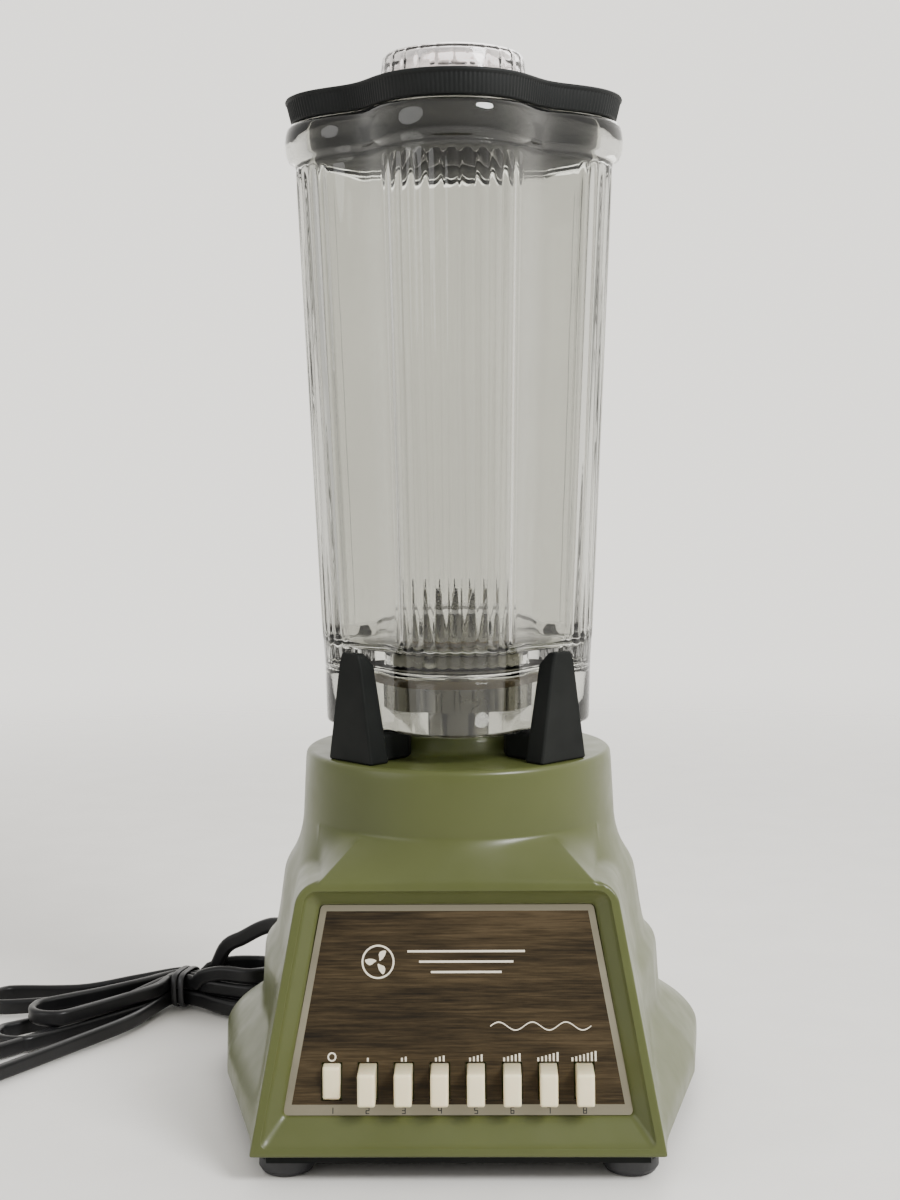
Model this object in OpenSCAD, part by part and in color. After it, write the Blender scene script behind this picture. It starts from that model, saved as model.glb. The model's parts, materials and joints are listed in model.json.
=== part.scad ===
// Countertop blender: clover-section glass jar on a push-button motor base.
// Millimetres, +Z up, origin on the table under the drive axis, front towards -Y.

/* [Housing] */
// Height of the housing's lower edge above the table
skirt_z = 9; // [8.5:0.5:9.5]
// Half width of the straight front edge
front_half = 69; // [67:0.5:70]
// Half width of the housing at its widest, behind the middle
side_half = 93.3; // [92:0.1:95]
// Distance of the front and rear edges from the drive axis
half_depth = 86; // [85:0.5:87]
// Corner radius of the rear of the footprint
rear_r = 45; // [40:1:48]
// Height of the flat top of the collar
collar_top = 131; // [130.5:0.5:131]
// Radius of the foot of the collar
collar_foot_r = 58.5; // [58:0.1:59]
// Radius of the top of the collar
collar_r = 57; // [56.5:0.1:57.5]
// Wall thickness of the moulding
wall = 3; // [2.5:0.1:3]
// Outer radius of the raised ring round the drive
ring_r = 25.5; // [25:0.1:25.6]

/* [Front panel] */
// Height of the top edge of the front frame
frame_top = 95; // [94:0.5:96]
// Half width of the front frame at its top
frame_top_half = 54; // [53:0.5:55]
// Lean of the front frame from upright, degrees
frame_lean = 12.9; // [12.5:0.1:13.3]
// Width of the frame's flat rim
rim_w = 3.1; // [2.5:0.1:3.5]
// Depth of the panel face behind the rim
panel_depth = 5.85; // [5.5:0.05:6]
// Half width of the panel along its lower edge
panel_half = 58.4; // [57.5:0.1:58.6]
// Half width of the panel along its upper edge
panel_top_half = 46.8; // [46:0.1:47]
// Distance up the lean to the panel's lower edge
panel_low = 12.6; // [12.4:0.1:12.8]
// Distance up the lean to the panel's upper edge
panel_high = 80.8; // [80:0.1:81]
// Thickness of the metal panel
panel_t = 1.2; // [1.1:0.1:1.3]
// Thickness of the wood-pattern inlay
inlay_t = 0.4; // [0.3:0.1:0.5]

/* [Buttons] */
// Distance between neighbouring buttons
button_pitch = 12.1; // [11.9:0.1:12.2]
// Width of a button
button_w = 6; // [5.8:0.1:6.1]
// Height of a button
button_h = 11; // [10.8:0.1:11.2]
// How far a released button stands out of the panel
button_out = 10; // [9.5:0.5:10]
// Travel of a button
button_travel = 7.5; // [7:0.5:7.5]
// Distance up the lean to the middle of the button row
button_row = 23.4; // [23.2:0.1:23.6]

/* [Jar] */
// Height of the jar's lower edge
jar_z = 141; // [141:1:141]
// Height of the jar's rim
jar_top = 364; // [362:1:364]
// Lobe radius at the jar's lower edge
jar_low_r = 49.3; // [49:0.1:49.5]
// Lobe radius of the body at the floor
jar_body_r = 50.3; // [50:0.1:50.4]
// Lobe radius of the body under the bead
jar_high_r = 59.5; // [59:0.1:60]
// Lobe radius of the bead at the rim
bead_r = 63.6; // [63:0.1:63.6]
// Glass thickness
glass_t = 4.4; // [4:0.1:4.5]
// Height of the jar's inner floor
floor_z = 169; // [169:1:169]
// Thickness of the jar's floor
floor_t = 6; // [6:1:6]
// Radius of the hole through the floor
floor_hole_r = 13; // [12.5:0.5:13]

/* [Lid] */
// Height of the lid's outer band
lid_h = 9.5; // [9:0.5:10]
// Lobe radius of the lid's upper edge
lid_r = 63.4; // [62:0.1:63.6]
// Depth of the plug inside the jar
plug_depth = 13.3; // [13:0.1:14]
// Radius of the filler hole
filler_r = 25; // [24.8:0.1:25.2]
// Height of the cap above the lid
cap_h = 18; // [17:0.5:18]

/* [Agitator] */
// Radius of the blade shaft and of the motor shaft
shaft_r = 4; // [4:1:4]
// Radius swept by the blades
blade_r = 28; // [26:1:30]
// Width across the flats of the drive stud
stud_w = 8; // [7.8:0.1:8]
// Side of the square socket in the drive coupling
socket_w = 8.5; // [8.4:0.1:8.6]
// Radial running clearance in the bearings
run_gap = 0.05; // [0.03:0.01:0.08]

/* [Motor] */
// Length of the armature and stator stacks
stack_h = 24; // [24:1:24]
// Height of the underside of the stacks
stack_z = 68; // [68:1:68]
// Radius of the armature
armature_r = 21; // [20.5:0.1:21]
// Radius of the fan
fan_r = 37; // [34:1:38]
// Outer radius of a ball bearing
bearing_r = 11; // [10.5:0.5:11]

/* [Mains lead] */
// Width of the flat twin flex
flex_w = 6.4; // [6:0.1:6.8]
// Thickness of the flat twin flex
flex_t = 3.4; // [3.2:0.1:3.6]
// Height of the tied hank
hank_h = 20; // [18:1:22]

/* [Hidden] */
BUTTONS = 8;
CORNERS = ["front_left", "front_right", "rear_left", "rear_right"];
SIGNS = [[-1, -1], [1, -1], [-1, 1], [1, 1]];

EPS = 0.01;
HULL_FN = 32;
$fn = 64;

// Footprint corners as x, y, radius; each level shrinks them towards a circle.
front_r = 4;
side_mid = 87.8;
flank_r = 30;
front_back = 2;
frame_round = 7;
block_top = 107;
footprint = [for (s = [-1, 1]) each [
    [s * (front_half - 1 - front_r), front_back + front_r - half_depth, front_r],
    [s * (side_mid - flank_r), 0, flank_r],
    [s * (side_half - rear_r), half_depth - rear_r, rear_r]]];

// Outline of the moulding going up: height, share of the footprint, circle radius.
profile = [
    [skirt_z, 1, collar_foot_r], [12.5, 1, collar_foot_r], [16, 0.97, collar_foot_r],
    [21, 0.9, collar_foot_r], [27, 0.75, collar_foot_r], [31, 0.62, collar_foot_r],
    [34.5, 0.515, collar_foot_r], [54.5, 0.49, collar_foot_r], [58, 0.42, collar_foot_r],
    [60.5, 0.36, collar_foot_r], [85, 0.22, collar_foot_r], [88.5, 0.18, collar_foot_r],
    [92, 0.125, collar_foot_r], [frame_top - 1, 0.1, collar_foot_r],
    [frame_top, 0.085, collar_foot_r], [99, 0.04, collar_foot_r],
    [block_top, 0, collar_foot_r], [collar_top - 2, 0, collar_r],
    [collar_top, 0, collar_r - 1.4]];

foot_x = 58;
foot_front_y = -70;
foot_rear_y = 52;
foot_r = 9.5;
foot_h = 5;
plate_top = skirt_z + 2.5;
bolt_x = 37.5;
bolt_y = 28.5;
stator_x = 42;
stator_y = 33;
boss_r = 5;
cavity_w = -panel_depth - panel_t - 2.45;
cavity_back = -cavity_w / cos(frame_lean);
slot_gap = 0.5;
switch_l = 28.2;
switch_pocket = 14.7;
stud_z = 128.5;
coupling_z = 118;
coupling_top = 136.5;
coupling_r = 12;
ring_h = 7;
flange_r = 18;
stem_r = 11;
lead_angle = 125;
lead_z = 38;
lead_wall = [-56, 64];
lead_len = 24;

// Route of the flex from the strain relief to the hank.
route = [[-68, 81, 38], [-74, 89, 38.5], [-81, 96, 38], [-88, 101, 35], [-96, 105, 30],
    [-104, 108, 25], [-112, 110, 20], [-119, 111, 15]];

// ---- Shapes shared by several pieces ----

// Clover radius as a share of the lobe radius; k = 0 gives a circle.
function clover(a, k) = 1 - k * (0.0878 - 0.1 * cos(4 * a) + 0.0122 * cos(8 * a));

// Closed band through rings given as lobe radius, cloverness and height.
module clover_band(rings, n = 96) {
    m = len(rings);
    points = [for (r = rings, i = [0:n - 1]) let (a = 360 * i / n)
        [r.x * clover(a, r.y) * cos(a), r.x * clover(a, r.y) * sin(a), r.z]];
    faces = [for (j = [0:m - 1], i = [0:n - 1])
        let (i2 = (i + 1) % n, a = j * n, b = ((j + 1) % m) * n)
        each [[a + i, b + i, b + i2], [a + i, b + i2, a + i2]]];
    polyhedron(points, faces, convexity = 8);
}

// Corner of the leaning front at height z, drawn in sideways and backwards.
function front_corner(z, inset, back) = let (
        up = min(z, frame_top) - skirt_z,
        t = max(0, z - frame_top) / (block_top - frame_top),
        near_top = max(0, min(z, frame_top) - frame_top + frame_round),
        rounding = frame_round - sqrt(frame_round ^ 2 - near_top ^ 2),
        half = front_half - (front_half - frame_top_half) * up / (frame_top - skirt_z) - rounding,
        y = up * tan(frame_lean) - half_depth + back)
    [(half - inset) * (1 - t) + 34 * t, y * (1 - t) - 38 * t];

// Circles whose hull is the moulding's plan at one level, as x, y, radius.
function level_circles(level, inset, back) = let (
        front = front_corner(level.x, inset, back),
        s = level.y)
    concat([for (c = footprint) [s * c.x, s * c.y, (1 - s) * level.z + s * c.z - inset]],
        [for (side = [-1, 1]) [side * (front.x - 1), front.y + 1, 1]]);

// Circle that reaches furthest in direction u.
function furthest(circles, u) =
    let (reach = [for (c = circles) c.x * u.x + c.y * u.y + c.z])
    circles[search(max(reach), reach)[0]];

// Outline at one level, one point for each of n directions.
function level_points(level, inset, back, n = 56) =
    let (circles = level_circles(level, inset, back))
    [for (i = [0:n - 1]) let (a = 360 * (i + 0.5) / n, u = [cos(a), sin(a)],
        c = furthest(circles, u))
        [c.x + c.z * u.x, c.y + c.z * u.y]];

module level_plan(level, inset) {
    offset(delta = -inset)
        polygon(level_points(level, 0, 0));
}

// Solid through all levels, drawn in for the inside.
module loft(levels, inset, back) {
    plans = [for (l = levels) level_points(l, inset, back)];
    n = len(plans[0]);
    m = len(levels);
    sides = [for (j = [0:m - 2], i = [0:n - 1])
        let (a = j * n + i, b = j * n + (i + 1) % n)
        each [[a, b + n, b], [a, a + n, b + n]]];
    polyhedron([for (j = [0:m - 1], q = plans[j]) [q.x, q.y, levels[j].x]],
        concat(sides, [[for (i = [0:n - 1]) i], [for (i = [n - 1:-1:0]) (m - 1) * n + i]]),
        convexity = 6);
}

// Carries panel coordinates (across, up the lean, outwards) to the leaning face.
module on_panel() {
    translate([0, -half_depth, skirt_z])
        rotate([90 - frame_lean, 0, 0])
            children();
}

// Outline of the whole front frame in panel coordinates.
module frame_plan(inset) {
    high = (frame_top - skirt_z) / cos(frame_lean);
    corner = frame_round;
    offset(delta = -inset)
        hull()
            for (s = [-1, 1]) {
                translate([s * (front_half - 1), 1])
                    circle(r = 1, $fn = HULL_FN);
                translate([s * (frame_top_half - corner), high - corner])
                    circle(r = corner, $fn = HULL_FN);
            }
}

// Outline of the panel, grown or shrunk by the given amount.
module panel_plan(grow = 0) {
    r = 1.5;
    offset(delta = grow)
        hull()
            for (s = [-1, 1]) {
                translate([s * (panel_half - r), panel_low + r])
                    circle(r = r, $fn = HULL_FN);
                translate([s * (panel_top_half - r), panel_high - r])
                    circle(r = r, $fn = HULL_FN);
            }
}

// Carries button coordinates (across, up, level outwards) to the middle of the row on the panel.
module on_row() {
    on_panel()
        translate([0, button_row, -panel_depth])
            rotate([frame_lean, 0, 0])
                children();
}

module button_place(i) {
    on_row()
        translate([(i - (BUTTONS + 1) / 2) * button_pitch, 0, 0])
            children();
}

// Lets a bolt or screw through; long enough for every plate it crosses.
module bolt_places() {
    for (s = SIGNS)
        translate([s.x * bolt_x, s.y * bolt_y, 0])
            children();
}

function foot_place(i) = [SIGNS[i].x * foot_x, SIGNS[i].y < 0 ? foot_front_y : foot_rear_y, 0];

// Round sleeve standing on height z.
module tube(z, h, r_out, r_in) {
    translate([0, 0, z])
        difference() {
            cylinder(r = r_out, h = h);
            translate([0, 0, -1])
                cylinder(r = r_in, h = h + 2);
        }
}

module rounded_rect(x, y, r) {
    hull()
        for (s = SIGNS)
            translate([s.x * (x - r), s.y * (y - r)])
                circle(r = r, $fn = HULL_FN);
}

// ---- Base shell ----

module housing() {
    inner = concat([[skirt_z - 1, 1, collar_foot_r]],
        [for (z = [12.5, 16, 21, 31, 54.5, 60.5, 85, frame_top, block_top])
            profile[search(z, profile)[0]]],
        [[collar_top - wall - 0.5, 0, collar_r]]);
    color("olivedrab")
        resize([2 * side_half, 0, 0])
            difference() {
                union() {
                    loft(profile, 0, 0);
                    translate([0, 0, collar_top - 1])
                        cylinder(r1 = ring_r + 1.5, r2 = ring_r, h = ring_h + 1);
                }
                difference() {
                    loft(inner, wall, cavity_back);
                    housing_bosses();
                    on_panel()
                        translate([-side_half, -20, cavity_w])
                            cube([2 * side_half, frame_top + 10, half_depth]);
                }
                recess();
                translate([0, 0, collar_top])
                    cylinder(r = ring_r - wall, h = 20);
                translate([0, 0, collar_top - 5])
                    cylinder(r = coupling_r + 1.5, h = 20);
                for (i = [0:3])
                    translate(foot_place(i))
                        cylinder(r = 2.2, h = 28, $fn = 24);
                bolt_places()
                    translate([0, 0, 100])
                        cylinder(r = 2.5, h = 19, $fn = 24);
                lead_exit(6.6, 40);
            }
}

// Solid pillars left inside the shell for the plate screws and the motor bolts.
module housing_bosses() {
    for (i = [0:3])
        translate(foot_place(i) + [0, 0, plate_top])
            cylinder(r = boss_r, h = 50, $fn = 24);
    bolt_places()
        translate([0, 0, 105])
            cylinder(r = boss_r, h = 30, $fn = 24);
}

// Sunk front: bevelled sides down to the panel seat, and the button window.
module recess() {
    on_panel() {
        hull() {
            translate([0, 0, 0.2])
                linear_extrude(EPS)
                    frame_plan(rim_w);
            translate([0, 0, -panel_depth - panel_t])
                linear_extrude(EPS)
                    panel_plan(0.15);
        }
        translate([-47, button_row - 6.5, cavity_w - 1])
            cube([94, 14.5, 10]);
    }
}

module lead_exit(r, length) {
    translate([lead_wall.x, lead_wall.y, lead_z])
        rotate([0, 90, lead_angle])
            translate([0, 0, -length / 2])
                cylinder(r = r, h = length);
}

module post(i) {
    toe_top = jar_z - collar_top;
    color([0.12, 0.12, 0.13])
        translate([0, 0, collar_top])
            rotate(atan2(SIGNS[i].y, SIGNS[i].x)) {
                hull() {
                    translate([45.5, -11.5, 0])
                        cube([8.5, 23, 1]);
                    translate([47, -5.8, 34])
                        cube([7, 11.6, 0.5]);
                    translate([50.5, -4.2, 38.5])
                        cube([3.5, 8.4, 0.5]);
                }
                hull() {
                    translate([33, -8, 0])
                        cube([14, 16, toe_top]);
                    translate([28, -4.5, 0])
                        cube([2, 9, toe_top - 1.5]);
                }
            }
}

module panel_plate() {
    color("silver")
        difference() {
            on_panel()
                translate([0, 0, -panel_depth - panel_t])
                    difference() {
                        linear_extrude(panel_t)
                            panel_plan();
                        translate([0, 0, panel_t - inlay_t])
                            linear_extrude(1)
                                inlay_plan();
                    }
            button_slots();
        }
}

module panel_inlay() {
    color("saddlebrown")
        difference() {
            on_panel()
                translate([0, 0, -panel_depth - inlay_t])
                    linear_extrude(inlay_t)
                        inlay_plan();
            button_slots();
        }
}

// Wood-pattern field inside the bright border.
module inlay_plan() {
    border = 2.1;
    low = 3.4;
    polygon([
        [border - panel_half + 0.6, panel_low + low], [panel_half - border - 0.6, panel_low + low],
        [panel_top_half - border, panel_high - border], [border - panel_top_half, panel_high - border]]);
}

module button_slots() {
    for (i = [1:BUTTONS])
        button_place(i)
            translate([-button_w / 2 - slot_gap, -button_h / 2 - slot_gap, -5])
                cube([button_w + 2 * slot_gap, button_h + 2 * slot_gap, 10]);
}

// Push button; the first one rests pressed in.
module button(i) {
    pressed = i == 1 ? button_travel : 0;
    cap_l = 16.5;
    stem_l = 29;
    color("ivory")
        button_place(i)
            translate([0, 0, button_out - pressed]) {
                hull() {
                    translate([1 - button_w / 2, 1 - button_h / 2, -0.6])
                        cube([button_w - 2, button_h - 2, 0.6]);
                    translate([-button_w / 2, -button_h / 2, -cap_l])
                        cube([button_w, button_h, cap_l - 1]);
                }
                translate([-2, -3, -stem_l])
                    cube([4, 6, stem_l - cap_l + 1]);
            }
}

// Moulded block behind the panel that the buttons slide in; its front follows the lean of the wall.
module switch_body() {
    color("dimgray")
        difference() {
            on_row()
                translate([-51, -11, -switch_l])
                    cube([102, 22, switch_l]);
            on_panel()
                translate([-side_half, 0, cavity_w])
                    cube([2 * side_half, frame_top, half_depth]);
            on_row() {
                translate([-48.5, -8, -switch_pocket])
                    cube([97, 16.5, 20]);
                for (i = [1:BUTTONS])
                    translate([(i - (BUTTONS + 1) / 2) * button_pitch - 2.4, -3.4, 0.5 - switch_l])
                        cube([4.8, 6.8, switch_l]);
            }
        }
}

module bottom_plate() {
    vent_ring = 26;
    pan_t = 2;
    color([0.1, 0.1, 0.1])
        difference() {
            union() {
                translate([0, 0, foot_h])
                    linear_extrude(skirt_z - foot_h)
                        level_plan(profile[0], 6);
                translate([0, 0, skirt_z])
                    linear_extrude(plate_top - skirt_z)
                        intersection() {
                            polygon(level_points(profile[0], wall + 0.5, cavity_back));
                            translate([-side_half, 11 - half_depth])
                                square(2 * side_half);
                        }
            }
            translate([0, 0, foot_h + pan_t])
                linear_extrude(20)
                    difference() {
                        level_plan(profile[0], 6 + pan_t);
                        for (i = [0:3])
                            translate([foot_place(i).x, foot_place(i).y])
                                circle(r = 7);
                        translate([2, 42])
                            square([52, 20]);
                    }
            for (a = [0:30:330])
                rotate(a)
                    translate([vent_ring, 0, 0])
                        cylinder(r = 3.5, h = 20);
            for (i = [0:3])
                translate(foot_place(i))
                    cylinder(r = 2.2, h = 20);
        }
}

module foot(i) {
    color([0.08, 0.08, 0.08])
        translate(foot_place(i))
            rotate_extrude()
                polygon([[4.6, 0], [foot_r - 1, 0], [foot_r, 1.5], [foot_r, foot_h], [2.2, foot_h],
                    [2.2, 3.5], [4.6, 3.5]]);
}

module bottom_screws() {
    color("gray")
        for (i = [0:3])
            translate(foot_place(i)) {
                translate([0, 0, 1.3])
                    cylinder(r = 4, h = 2.2);
                translate([0, 0, 3.4])
                    cylinder(r = 1.8, h = 22);
            }
}

module speed_module() {
    color("darkred") {
        translate([6, 44, plate_top])
            cube([44, 16, 3]);
        for (x = [12, 24, 36])
            translate([x, 47, plate_top + 3])
                cube([8, 10, 18]);
    }
}

// ---- Motor ----

module stator_core() {
    color("slategray")
        translate([0, 0, stack_z])
            difference() {
                linear_extrude(stack_h)
                    rounded_rect(stator_x, stator_y, 6);
                translate([0, 0, -1])
                    cylinder(r = armature_r + 0.5, h = stack_h + 2);
                for (s = SIGNS)
                    translate([s.x * 29 - 4.5, s.y * 19 - 4.5, -1])
                        cube([9, 9, stack_h + 2]);
                bolt_places()
                    translate([0, 0, -1])
                        cylinder(r = 2.3, h = stack_h + 2);
            }
}

module field_coils() {
    over = 5;
    color("peru")
        for (s = [-1, 1])
            translate([s * 29 - 4, 0, stack_z])
                difference() {
                    translate([0, -23, -over])
                        cube([8, 46, stack_h + 2 * over]);
                    translate([-1, -15, -0.3])
                        cube([10, 30, stack_h + 0.6]);
                }
}

// End bracket: plate, bearing hub and four legs that reach the stator.
module bracket(z, hub_z, hub_h, pocket_z, leg_z, leg_h) {
    color("lightsteelblue")
        difference() {
            union() {
                translate([0, 0, z])
                    linear_extrude(3)
                        rounded_rect(stator_x, stator_y, 6);
                translate([0, 0, hub_z])
                    cylinder(r = bearing_r + 3, h = hub_h);
                bolt_places()
                    translate([0, 0, leg_z])
                        cylinder(r = 4.5, h = leg_h);
            }
            translate([0, 0, pocket_z])
                cylinder(r = bearing_r, h = 20);
            cylinder(r = 7, h = 200);
            bolt_places()
                cylinder(r = 2.3, h = 200);
            for (s = [-1, 1])
                translate([s * 25 - 6, -12, z - 1])
                    cube([12, 24, 5]);
        }
}

module bracket_upper() {
    bracket(102, 101, 10, 103, stack_z + stack_h, 10.5);
}

module bracket_lower() {
    bracket(49, 42, 10, 44, 51.5, stack_z - 51.5);
}

module motor_bearing(z) {
    color("lightgray")
        tube(z, 7, bearing_r, shaft_r + run_gap);
}

module motor_bolts() {
    color("gray")
        bolt_places() {
            translate([0, 0, 45.5])
                cylinder(r = 4, h = 3.5);
            translate([0, 0, 48.5])
                cylinder(r = 2, h = 68);
        }
}

module brush_holders() {
    color("tan")
        for (s = [0, 180])
            rotate(s)
                difference() {
                    translate([15.5, -6, 52])
                        cube([27, 12, 10.5]);
                    translate([15, -4.1, 54.9])
                        cube([24, 8.2, 6.2]);
                }
}

module brushes() {
    color([0.2, 0.2, 0.2])
        for (s = [0, 180])
            rotate(s)
                translate([13.15, -4, 55])
                    cube([19, 8, 6]);
}

module motor_shaft() {
    color("silver")
        translate([0, 0, 20])
            cylinder(r = shaft_r, h = 107);
}

module armature_core() {
    color("slategray")
        translate([0, 0, stack_z])
            difference() {
                cylinder(r = armature_r, h = stack_h);
                translate([0, 0, -1])
                    cylinder(r = shaft_r, h = stack_h + 2);
                for (a = [0:30:330])
                    rotate(a)
                        translate([14, -1.7, -1])
                            cube([10, 3.4, stack_h + 2]);
            }
}

module armature_winding() {
    color("chocolate") {
        for (z = [stack_z - 4, stack_z + stack_h])
            tube(z, 4, 19, 6);
        for (a = [0:30:330])
            rotate(a)
                translate([14.3, -1.4, stack_z - 1])
                    cube([4.5, 2.8, stack_h + 2]);
    }
}

module commutator() {
    color("goldenrod")
        difference() {
            tube(54, 9.5, 13, shaft_r);
            for (a = [0:15:345])
                rotate(a)
                    translate([12.2, -0.2, 53])
                        cube([2, 0.4, 12]);
        }
}

module cooling_fan() {
    color("whitesmoke") {
        tube(24, 12, 9, shaft_r);
        tube(24, 1.4, fan_r, 8);
        for (a = [0:40:320])
            rotate(a)
                translate([8, -0.8, 24.5])
                    cube([fan_r - 10, 1.6, 10]);
    }
}

module drive_coupling() {
    color([0.15, 0.15, 0.16])
        difference() {
            translate([0, 0, coupling_z])
                cylinder(r = coupling_r, h = coupling_top - coupling_z);
            translate([0, 0, coupling_z - 1])
                cylinder(r = shaft_r, h = 10);
            translate([-socket_w / 2, -socket_w / 2, 127.5])
                cube([socket_w, socket_w, 20]);
        }
}

// ---- Mains lead ----

module strain_relief() {
    color([0.1, 0.1, 0.1])
        translate([lead_wall.x, lead_wall.y, lead_z])
            rotate([0, 90, lead_angle])
                rotate_extrude()
                    polygon([[0, -12], [6.3, -12], [6.3, 4], [4, lead_len], [0, lead_len]]);
}

// Point on a smooth curve through four neighbouring route points.
function spline(p0, p1, p2, p3, t) =
    0.5 * (2 * p1 + (p2 - p0) * t + (2 * p0 - 5 * p1 + 4 * p2 - p3) * t * t
        + (3 * p1 - p0 - 3 * p2 + p3) * t * t * t);
function smooth_route(p, steps) = let (n = len(p)) concat(
    [for (i = [0:n - 2], j = [0:steps - 1])
        spline(p[max(i - 1, 0)], p[i], p[i + 1], p[min(i + 2, n - 1)], j / steps)],
    [p[n - 1]]);
function unit(v) = v / norm(v);

// Flat oval section swept along the route.
module flex(points, sides = 10) {
    n = len(points);
    ring = [for (i = [0:n - 1])
        let (t = unit(points[min(i + 1, n - 1)] - points[max(i - 1, 0)]),
            side = unit(cross(t, [0, 0, 1])), up = cross(side, t))
        [for (k = [0:sides - 1]) let (a = 360 * k / sides)
            points[i] + up * cos(a) * flex_w / 2 + side * sin(a) * flex_t / 2]];
    faces = concat(
        [[for (k = [sides - 1:-1:0]) k], [for (k = [0:sides - 1]) (n - 1) * sides + k]],
        [for (i = [0:n - 2], k = [0:sides - 1])
            let (a = i * sides + k, b = i * sides + (k + 1) % sides)
            each [[a, b, b + sides], [a, b + sides, a + sides]]]);
    polyhedron([for (r = ring) each r], faces, convexity = 6);
}

module power_cord() {
    color([0.06, 0.06, 0.06])
        flex(smooth_route(route, 3));
}

module cord_hank() {
    waist = [-125, 109];
    color([0.06, 0.06, 0.06])
        linear_extrude(hank_h) {
            hull() {
                translate([-86, 99])
                    circle(r = 12, $fn = HULL_FN);
                translate(waist)
                    circle(r = 8, $fn = HULL_FN);
            }
            hull() {
                translate(waist)
                    circle(r = 8, $fn = HULL_FN);
                translate([-200, 106])
                    circle(r = 9, $fn = HULL_FN);
                translate([-190, 12])
                    circle(r = 13, $fn = HULL_FN);
            }
        }
}

module cord_tie() {
    color([0.2, 0.2, 0.22])
        translate([-120.5, 107.6, 0])
            rotate(-14)
                difference() {
                    translate([-3, -11, 0.2])
                        cube([6, 22, hank_h + 1]);
                    translate([-4, -9.7, -1])
                        cube([8, 19.4, hank_h + 1]);
                }
}

module power_plug() {
    color([0.08, 0.08, 0.08]) {
        hull() {
            translate([-75, 94, 2])
                cube([1, 12, 9]);
            translate([-66, 89, 0])
                cube([18, 22, 13]);
        }
        for (y = [93.65, 106.35])
            translate([-48.5, y - 0.75, 3.3])
                cube([18, 1.5, 6.4]);
    }
}

// ---- Jar ----

module jar_glass() {
    color([0.8, 0.9, 0.85, 0.5])
        clover_band([
            [jar_low_r, 1, jar_z], [jar_body_r, 1, floor_z - 1], [jar_high_r, 1, jar_top - 15],
            [bead_r - 0.8, 1, jar_top - 12.5], [bead_r, 1, jar_top - 9], [bead_r, 1, jar_top - 3],
            [bead_r - 1.2, 1, jar_top], [bead_r - 6.2, 1, jar_top],
            [jar_high_r - glass_t, 1, jar_top - 18], [jar_body_r - glass_t, 1, floor_z + 4],
            [jar_body_r - glass_t - 3, 1, floor_z], [floor_hole_r, 0, floor_z],
            [floor_hole_r, 0, floor_z - floor_t], [jar_body_r - glass_t - 1, 1, floor_z - floor_t],
            [jar_low_r - glass_t, 1, jar_z]]);
}

module jar_gasket_inner() {
    color("dimgray")
        tube(floor_z, 1.5, flange_r, stem_r);
}

module jar_gasket_outer() {
    color("tan")
        tube(floor_z - floor_t - 6, 6, 28, stem_r);
}

module jar_retaining_nut() {
    grip_n = 24;
    color("silver")
        difference() {
            tube(149.5, 7.5, 24, stem_r);
            for (i = [0:grip_n - 1])
                rotate(360 * i / grip_n)
                    translate([24.4, 0, 149])
                        cylinder(r = 1.2, h = 9, $fn = 16);
        }
}

module bearing_housing() {
    color("silver")
        rotate_extrude()
            polygon([[8, jar_z], [stem_r, jar_z], [stem_r, floor_z + 1.5], [flange_r, floor_z + 1.5],
                [flange_r, floor_z + 3.5], [9.5, floor_z + 11], [7, floor_z + 11],
                [7, floor_z + 8.5], [8, floor_z + 8.5]]);
}

module jar_bearing(z) {
    color("lightgray")
        tube(z, 7, 8, shaft_r + run_gap);
}

module shaft_seal() {
    color("black")
        tube(floor_z + 8.6, 2.3, 7, shaft_r + run_gap);
}

module blade_shaft() {
    color("silver")
        translate([0, 0, 138])
            cylinder(r = shaft_r, h = 49.5);
}

module drive_stud() {
    color("gray")
        difference() {
            union() {
                translate([-stud_w / 2, -stud_w / 2, stud_z])
                    cube([stud_w, stud_w, 9]);
                translate([0, 0, 137.2])
                    cylinder(r = 9, h = 3.5);
            }
            translate([0, 0, 138])
                cylinder(r = shaft_r, h = 10);
        }
}

module blade_spacer() {
    color("silver")
        tube(floor_z + 11.4, 1.6, 8, shaft_r);
}

// Two-armed cutter whose tips bend by the given angle.
module blade(z, tip_angle) {
    bend = 16;
    t = 1.2;
    color("gainsboro")
        translate([0, 0, z])
            difference() {
                union() {
                    cylinder(r = 8, h = t);
                    for (s = [0, 180])
                        rotate(s) {
                            translate([5, -5.5, 0])
                                cube([bend - 5, 11, t]);
                            translate([bend, 0, 0])
                                rotate([0, -tip_angle, 0])
                                    linear_extrude(t)
                                        polygon([[-0.4, -5.5], [blade_r - bend, -3],
                                            [blade_r - bend, 0], [-0.4, 5.5]]);
                        }
                }
                translate([0, 0, -1])
                    cylinder(r = shaft_r, h = t + 2);
            }
}

module blade_down() {
    blade(floor_z + 13, -30);
}

module blade_up() {
    rotate(90)
        blade(floor_z + 14.2, 40);
}

module blade_nut() {
    color("silver")
        translate([0, 0, floor_z + 15.4])
            difference() {
                union() {
                    cylinder(r = 6.5, h = 3.6, $fn = 6);
                    translate([0, 0, 3.6])
                        cylinder(r1 = 5, r2 = 3, h = 1.6);
                }
                translate([0, 0, -1])
                    cylinder(r = shaft_r, h = 4.1);
            }
}

// ---- Lid ----

module lid() {
    lid_top = jar_top + lid_h;
    color([0.1, 0.1, 0.1])
        clover_band([
            [bead_r - 2.6, 1, jar_top], [lid_r, 1, lid_top - 0.9], [lid_r - 0.7, 1, lid_top],
            [filler_r, 0, lid_top], [filler_r, 0, jar_top - plug_depth],
            [jar_high_r - glass_t - 1, 1, jar_top - plug_depth], [bead_r - 7, 1, jar_top]]);
}

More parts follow.
